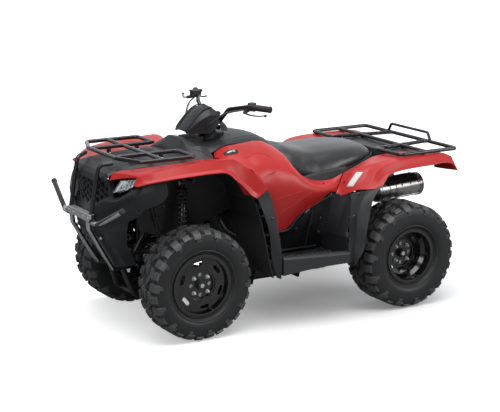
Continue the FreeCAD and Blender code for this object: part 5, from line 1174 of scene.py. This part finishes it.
def make_side_folds():
    """Creases and screws of the side covers, and the dark joint along their lower edge."""
    cover = bpy.data.objects["side_cover_shell_left"]
    folds = []
    for line in (
        [(296, 330, 901), (240, 316, 918), (168, 300, 924), (110, 312, 892), (62, 330, 837), (20, 356, 812),
         (-20, 392, 786)],
        [(128, 422, 666), (70, 424, 672), (10, 424, 684), (-60, 422, 698), (-108, 420, 706)],
        [(96, 408, 577), (40, 412, 600), (-30, 416, 634), (-122, 415, 676)],
        [(226, 415, 792), (180, 412, 808), (140, 404, 820), (109, 395, 828)],
        [(226, 416, 790), (196, 416, 790), (150, 410, 808), (110, 396, 826)],
    ):
        folds.append(rod(laid_line(cover, line, -0.6), 2.8, steps=1, sides=8, flat=0.7))
    merge("side_folds", both(folds), "body_red")
    edge = [(120, 378, 489), (62, 368, 485), (1, 364, 495), (-34, 366, 535), (-90, 368, 579), (-172, 366, 613),
            (-260, 364, 647)]
    merge("side_joints", both([rod(edge, 5.5, sides=8)]), "black_plastic")
    heads = laid_screws(cover, ((268, 300, 914), (-232, 340, 716), (150, 408, 560), (-250, 350, 676)), 0.2, 6)
    merge("side_screws", both(heads), "black_plastic")


def make_tank_corner():
    """Red corner between the tank cover and the front fender, with a black slab on it as painted shade of the tap
    recess.
    """
    rows = [
        [(392, 244, 899), (390, 276, 903), (386, 318, 905), (382, 352, 906), (380, 398, 900)],
        [(368, 196, 916), (366, 232, 920), (360, 290, 918), (352, 352, 911), (348, 402, 891)],
        [(320, 196, 941), (318, 240, 936), (312, 300, 924), (304, 360, 900), (298, 412, 866)],
        [(268, 200, 952), (268, 254, 941), (266, 318, 917), (264, 374, 884), (262, 420, 850)],
    ]
    side_shells("tank_corner_", rows, "body_red", (0, 0.5, 1), steps=(5, 5), thick=3, bevel=1.0, fair=14)
    corner = bpy.data.objects["tank_corner_left"]
    outline = [(352, 262, 925), (318, 256, 933), (290, 262, 936), (276, 276, 932), (284, 298, 925), (318, 300, 921),
               (352, 296, 920)]
    # Painted shade: a black slab laid on the red surface where the tap recess is.
    recess_shade = [prism([lay(corner, p, 0.8)[0] for p in outline], (0, -2, -6))]
    rim = [rod([lay(corner, p, 1.2)[0] for p in outline + outline[:1]], 2.4, steps=4, sides=8)]
    merge("tap_recess_shade", both(recess_shade), "black_plastic")
    merge("tap_rim", both(rim), "charcoal_plastic")
    lever = [turned([(0, 9), (6, 9), (8, 7)], lay(corner, (300, 280, 930), 1)[0], (0, 0.5, 0.9), 18),
             block(lay(corner, (322, 278, 928), 3)[0], (34, 10, 7), (1, 0.1, -0.2), (0, 0.5, 0.9))]
    merge("tap_lever", both(lever), "guard_grey", bevel=1.2)


def make_top_details():
    """Boss, seams and ribs of the top cover, and the joint line round the tank cover."""
    cover = bpy.data.objects["top_cover_shell"]
    boss = [turned([(-4, 30), (2, 29), (4, 26), (4.5, 20), (2.5, 17), (2, 1)], (492, 118, 934), (0.35, 0.55, 0.76), 40)]
    merge("cover_boss", both(boss), "charcoal_plastic")
    seams = []
    for line in (
        [(968, 92, 905), (900, 96, 905), (820, 98, 905), (730, 100, 905), (664, 104, 905)],
        [(668, 0, 907), (668, 60, 906), (664, 104, 904)],
        [(560, 236, 888), (590, 180, 905), (600, 120, 908), (600, 0, 909)],
        [(520, 150, 960), (470, 190, 950), (420, 214, 930), (396, 236, 900)],
    ):
        seams.append(rod(laid_line(cover, line, -0.4), 1.8, steps=1, sides=8))
    merge("cover_seams", both(seams), "black_plastic")
    ribs = []
    lines = [([(x, y, 905) for x in (940, 860, 780, 690)], 4) for y in (24, 48, 72)]
    lines.append(([(940, 130, 905), (860, 132, 905), (780, 136, 903), (640, 150, 903)], 5))
    for line, radius in lines:
        ribs.append(rod(laid_line(cover, line, -1.2), radius, steps=1, sides=10, flat=0.7))
    merge("cover_ribs", both(ribs), "charcoal_plastic")
    shroud = [rod([(330, 0, 930), (300, 0, 968), (282, 0, 1000)], 52, steps=4, sides=24, tip=44),
              block((404, 0, 962), (90, 120, 40))]
    merge("stem_shroud", shroud, "black_plastic", bevel=3)
    tank = bpy.data.objects["tank_cover_shell"]
    lines = []
    for line in (
        [(372, 118, 950), (300, 116, 962), (200, 116, 984), (93, 118, 982), (40, 114, 965), (-8, 104, 930)],
        [(210, 60, 988), (210, 0, 990)],
    ):
        lines.append(rod(laid_line(tank, line, -0.5), 2.0, steps=1, sides=8))
    merge("tank_seams", both(lines), "black_plastic")
    cap = [turned([(-6, 44), (4, 44), (8, 41), (16, 38), (18, 34), (18, 1)], (250, 0, 968), (0.1, 0, 1), 48)]
    for k in range(12):
        a = math.radians(30 * k)
        cap.append(block((250 + 41 * math.cos(a), 41 * math.sin(a), 980), (7, 5, 14), (math.cos(a), math.sin(a), 0)))
    merge("fuel_cap", cap, "black_plastic", bevel=1.2)


def make_shade_backing():
    """Black sheets behind the joints between the side covers, the seat and the rear fenders, painted shade where the
    gaps would show through.
    """
    rows = [
        [(-120, 262, 742), (-130, 292, 690), (-150, 300, 620)],
        [(-230, 266, 760), (-250, 296, 700), (-260, 306, 640)],
        [(-330, 270, 770), (-344, 300, 712), (-350, 312, 650)],
        [(-420, 276, 778), (-430, 306, 730), (-440, 318, 680)],
    ]
    # Painted shade: dark walls where only shadow shows between the parts.
    side_shells("shade_backing_wall_", rows, "black_plastic", (0, 1, 0.2), steps=(4, 4), thick=3, bevel=0)
    # Black panels behind two slits, painted shade where the gaps would show through.
    shade_panels = [block((205, 330, 770), (110, 6, 130)), block((-387, 330, 665), (96, 6, 64))]
    merge("shade_backing_panels", both(shade_panels), "black_plastic", bevel=1.5)


def make_fender_details():
    """Screws, lip strips, inner tabs and the blank label of the fenders."""
    ahead, behind = bpy.data.objects["front_fender_shell_left"], bpy.data.objects["rear_fender_shell_left"]
    places = ((front(-352), 420, TOP - 128), (front(250), 300, TOP - 46), (front(-120), 300, TOP - 18))
    heads = laid_screws(ahead, places, 0.1, 6)
    places = ((rear(40), 330, BACK + 4), (rear(-230), 330, BACK + 2), (rear(330), 372, BACK - 110))
    heads += laid_screws(behind, places, 0.1, 6)
    merge("fender_screws", both(heads), "black_plastic")
    lips = []
    for rows in (front_fender_rows(), rear_fender_rows()):
        lips.append(rod([Vector(row[-1]) + Vector((0, -2.5, 0)) for row in rows], 3.2, steps=5, sides=8))
    merge("fender_lips", both(lips), "body_red")
    rows = [[(front(x), y, z) for x, y, z in row] for row in [
        [(-205, 452, 838), (-222, 430, 842), (-240, 390, 846)], [(-258, 456, 786), (-262, 424, 780), (-268, 380, 776)],
        [(-318, 462, 734), (-312, 430, 722), (-306, 386, 716)],
    ]]
    side_shells("fender_tab_", rows, "body_red", (0.6, 0, -0.6), steps=(4, 4), thick=3, bevel=0.8)
    corners = [row[1:3] for row in rear_fender_rows()[:4]]

    def on_front(row, share):
        k = int(row)
        a = Vector(corners[k][0]).lerp(Vector(corners[k][1]), share)
        b = Vector(corners[k + 1][0]).lerp(Vector(corners[k + 1][1]), share)
        return lay(behind, a.lerp(b, row - k), 1.0)[0]

    grid = []
    for k in range(7):
        t = k / 6
        low, high = on_front(0.66 + 1.3 * t, 0.10 + 0.14 * t), on_front(0.5 + 1.38 * t, 0.54 + 0.16 * t)
        grid.append([low, lay(behind, low.lerp(high, 0.5), 1.0)[0], high])
    shell("blank_label", grid, "label_white", (0.7, 0.6, 0.3), steps=(3, 2), thick=0.5, bevel=0)


def make_exhaust_details():
    """Clamp bands, heat shield, rivets and the dark end ring of the muffler."""
    nose, way = Vector((-640, 245, 604)), Vector((-1, 0, 0.05)).normalized()
    bands = [turned([(along, 63), (along, 66.5), (along + 9, 66.5), (along + 9, 63)], nose, way, 56, True)
             for along in (66, 110, 124)]
    merge("muffler_bands", bands, "muffler_steel", bevel=0.8)
    end = [turned([(286, 62), (287, 66.5), (298, 66.5), (302, 63), (302, 56), (297, 55)], nose, way, 56, True),
           turned([(298, 22), (312, 20), (316, 17), (316, 13), (300, 13)], nose, way, 32, True)]
    merge("muffler_end", end, "black_steel", bevel=0.6)
    side_way = Vector((0, 1, 0))
    over = side_way.cross(way)
    low, high, shield = 28, 132, 71
    turns = [math.radians(low + (high - low) * k / 8) for k in range(9)]
    rows = [[nose + way * along + (side_way * math.cos(a) + over * math.sin(a)) * shield for a in turns]
            for along in (52, 120, 190, 262)]
    shell("muffler_shield", rows, "black_steel", (0, 0, 1), steps=(3, 3), thick=2.5, bevel=1.0)
    rivets = []
    for along in (150, 210, 268):
        for turn in (-26, 22, 60, 118):
            a = math.radians(turn)
            out = side_way * math.cos(a) + over * math.sin(a)
            reach = shield if low < turn < high else 63
            rivets.append(turned([(-1, 5), (1.4, 4.6), (2.8, 2.6)], nose + way * along + out * reach, out, 14))
    merge("muffler_rivets", rivets, "black_steel")
    seam = [rod([nose + way * along + side_way * 45 + over * -45 for along in (72, 180, 284)], 2, steps=3, sides=8)]
    merge("muffler_seam", seam, "muffler_steel")


def make_rack_details():
    """Flanged feet with bolts, and pressed ends where the cross bars meet the loops."""
    feet, heads, ends = [], [], []
    for x, y, z in ((front(56), 142, 908), (front(222), 142, 905), (rear(-54), 224, 829), (rear(-200), 199, 829)):
        feet.append(turned([(-1, 19), (3, 19), (5, 12), (26, 10.5)], (x, y, z), (0, 0, 1), 24))
        for dy in (-14, 14):
            heads += bolt((x, y + dy, z + 2.5), (0, 0, 1), 4, 3)
    for *place, way in (
        (front(140), 318, 938, (0, 1, 0)), (front(-40), 152, 938, (0, -1, 0)), (rear(-178), 426, 843, (0, 1, 0)),
        (front(318), 158, 938, (1, 0.2, 0)), (rear(8), 238, 843, (1, 0.1, 0)), (rear(-376), 182, 843, (-1, 0.1, 0)),
    ):
        line = [Vector(place) + Vector(way) * along for along in (-16, 0, 8)]
        ends.append(rod(line, 12, steps=3, sides=14, flat=0.72, tip=12.5))
    merge("rack_feet", both(feet), "black_steel")
    merge("rack_bolts", both(heads), "hub_steel")
    merge("rack_ends", both(ends), "black_steel", bevel=1.5)


def make_foot_details():
    """Ribs, teeth, bolts and folds of the footwells, and the flaps' screws."""
    floor = 336
    ribs = []
    for k in range(7):
        y = 300 + 26 * k
        ribs.append(rod([(150, y, floor), (0, y + 2, floor), (-200, y + 8, floor)], 4, steps=4, sides=8, flat=0.9))
    for k in range(9):
        x = 140 - 38 * k
        ribs.append(rod([(x, y, floor) for y in (300, 380, 470)], 3.2, steps=3, sides=8, flat=0.9))
    for k in range(12):
        ribs.append(block((130 - 26 * k, 498 + k * 1.6, 381), (10, 24, 8)))
    merge("footwell_ribs", both(ribs), "charcoal_plastic", bevel=1.0)
    places = ((front(-400), 466, 726), (front(-408), 500, 600), (front(-440), 522, 330))
    heads = laid_screws(bpy.data.objects["front_flap_left"], places, 0.1, 7)
    places = ((rear(322), 502, 672), (rear(386), 548, 420), (rear(372), 534, 560))
    heads += laid_screws(bpy.data.objects["rear_flap_left"], places, 0.1, 7)
    for x, y, z in ((-60, 330, 480), (-150, 336, 500), (-215, 338, 520), (-214, 322, 440)):
        heads += bolt((x, y, z), (0.1, 1, 0.2), 6, 4)
    merge("flap_screws", both(heads), "black_steel")
    folds = [rod([(-140, 302, 372), (-144, 318, 430), (-148, 346, 520), (-150, 358, 570)], 4, steps=5, sides=8,
                 flat=0.8),
             rod([(60, 272, 352), (-40, 276, 352), (-220, 280, 352)], 6, steps=4, sides=8)]
    merge("footwell_folds", both(folds), "charcoal_plastic")


def make_engine_details():
    """Cooling fins, covers, bolts and pipes of the engine, seen from below the covers, and black fillers under the
    front as painted shade.
    """
    fins = [turned([(a, 70), (a, 86), (a + 4, 86), (a + 4, 70)], (150, 0, 476), (0.35, 0, 1), 40, True)
            for a in range(26, 163, 17)]
    merge("engine_fins", fins, "engine_alloy", bevel=0.6)
    covers, heads = [], []
    for side in (LEFT, RIGHT):
        y = 179 * side
        covers.append(turned([(-4, 92), (6, 90), (10, 82), (10, 60), (14, 52), (15, 30), (15, 1)], (100, y, 316),
                             (0, side, 0), 48))
        for k in range(8):
            a = math.radians(45 * k + 12)
            heads += bolt((100 + 84 * math.cos(a), y + 9 * side, 316 + 84 * math.sin(a)), (0, side, 0), 5, 5)
        covers.append(turned([(-4, 52), (12, 50), (16, 44), (16, 1)], (-60, (y - 30 * side), 330), (0, side, 0), 40))
        for k in range(6):
            a = math.radians(60 * k)
            heads += bolt((-60 + 47 * math.cos(a), y - 17 * side, 330 + 47 * math.sin(a)), (0, side, 0), 4.5, 5)
    merge("engine_covers", covers, "engine_alloy", bevel=1.0)
    merge("engine_bolts", heads, "hub_steel")
    pipe = [rod([(210, 40, 600), (262, 62, 560), (252, 120, 470), (180, 200, 430), (60, 210, 430), (-60, 206, 450)],
                17, steps=8, sides=16)]
    merge("exhaust_header", pipe, "frame_black")
    # Black posts and a block under the front, painted shade put where only shadow shows through the arches.
    shade_fillers = [rod([(x, 118, 520), (x - 10, 124, 600), (x - 20, 118, 690)], 9, steps=5) for x in (front(-60), front(60))]
    shade_fillers.append(block((430, 0, 640), (120, 150, 130)))
    merge("front_shade_fillers", both(shade_fillers), "black_plastic", bevel=4)


def make_tail():
    """Tail lamp with its housing and ribs."""
    x = rear(-346)
    house = [block((x + 16, 0, 767), (22, 158, 54)),
             prism([(x + 6, -79, 794), (x + 6, 79, 794), (x + 30, 70, 800), (x + 30, -70, 800)], (0, 0, -6))]
    merge("tail_lamp_housing", house, "black_plastic", bevel=3)
    rows = []
    for y, push in ((-72, 10), (-50, 1), (0, 0), (50, 1), (72, 10)):
        rows.append([(x + push + 3, y, 745), (x + push, y, 756), (x + push, y, 778), (x + push + 3, y, 789)])
    shell("tail_lamp_lens", rows, "lamp_red", (-1, 0, 0), steps=(3, 4), thick=3, bevel=1.0, nodes_out=("tail_lamp",))
    ribs = [rod([(x - 0.4, y, 748), (x - 1.2, y, 767), (x - 0.4, y, 786)], 1.4, steps=3, sides=6)
            for y in range(-60, 61, 10)]
    merge("tail_lamp_ribs", ribs, "lamp_red")


add_camera()
add_floor()
add_world()
add_lights()
dress_nodes()
make_fenders()
make_covers()
make_flaps()
make_wings()
make_tyres()
make_seat()
make_steering()
make_cables()
make_wheel_details()
make_springs()
make_lamps()
make_nose()
make_guard()
make_wing_details()
make_skid_details()
make_arches()
make_side_folds()
make_tank_corner()
make_shade_backing()
make_top_details()
make_fender_details()
make_exhaust_details()
make_rack_details()
make_foot_details()
make_engine_details()
make_tail()

scene.view_settings.view_transform = "Standard"
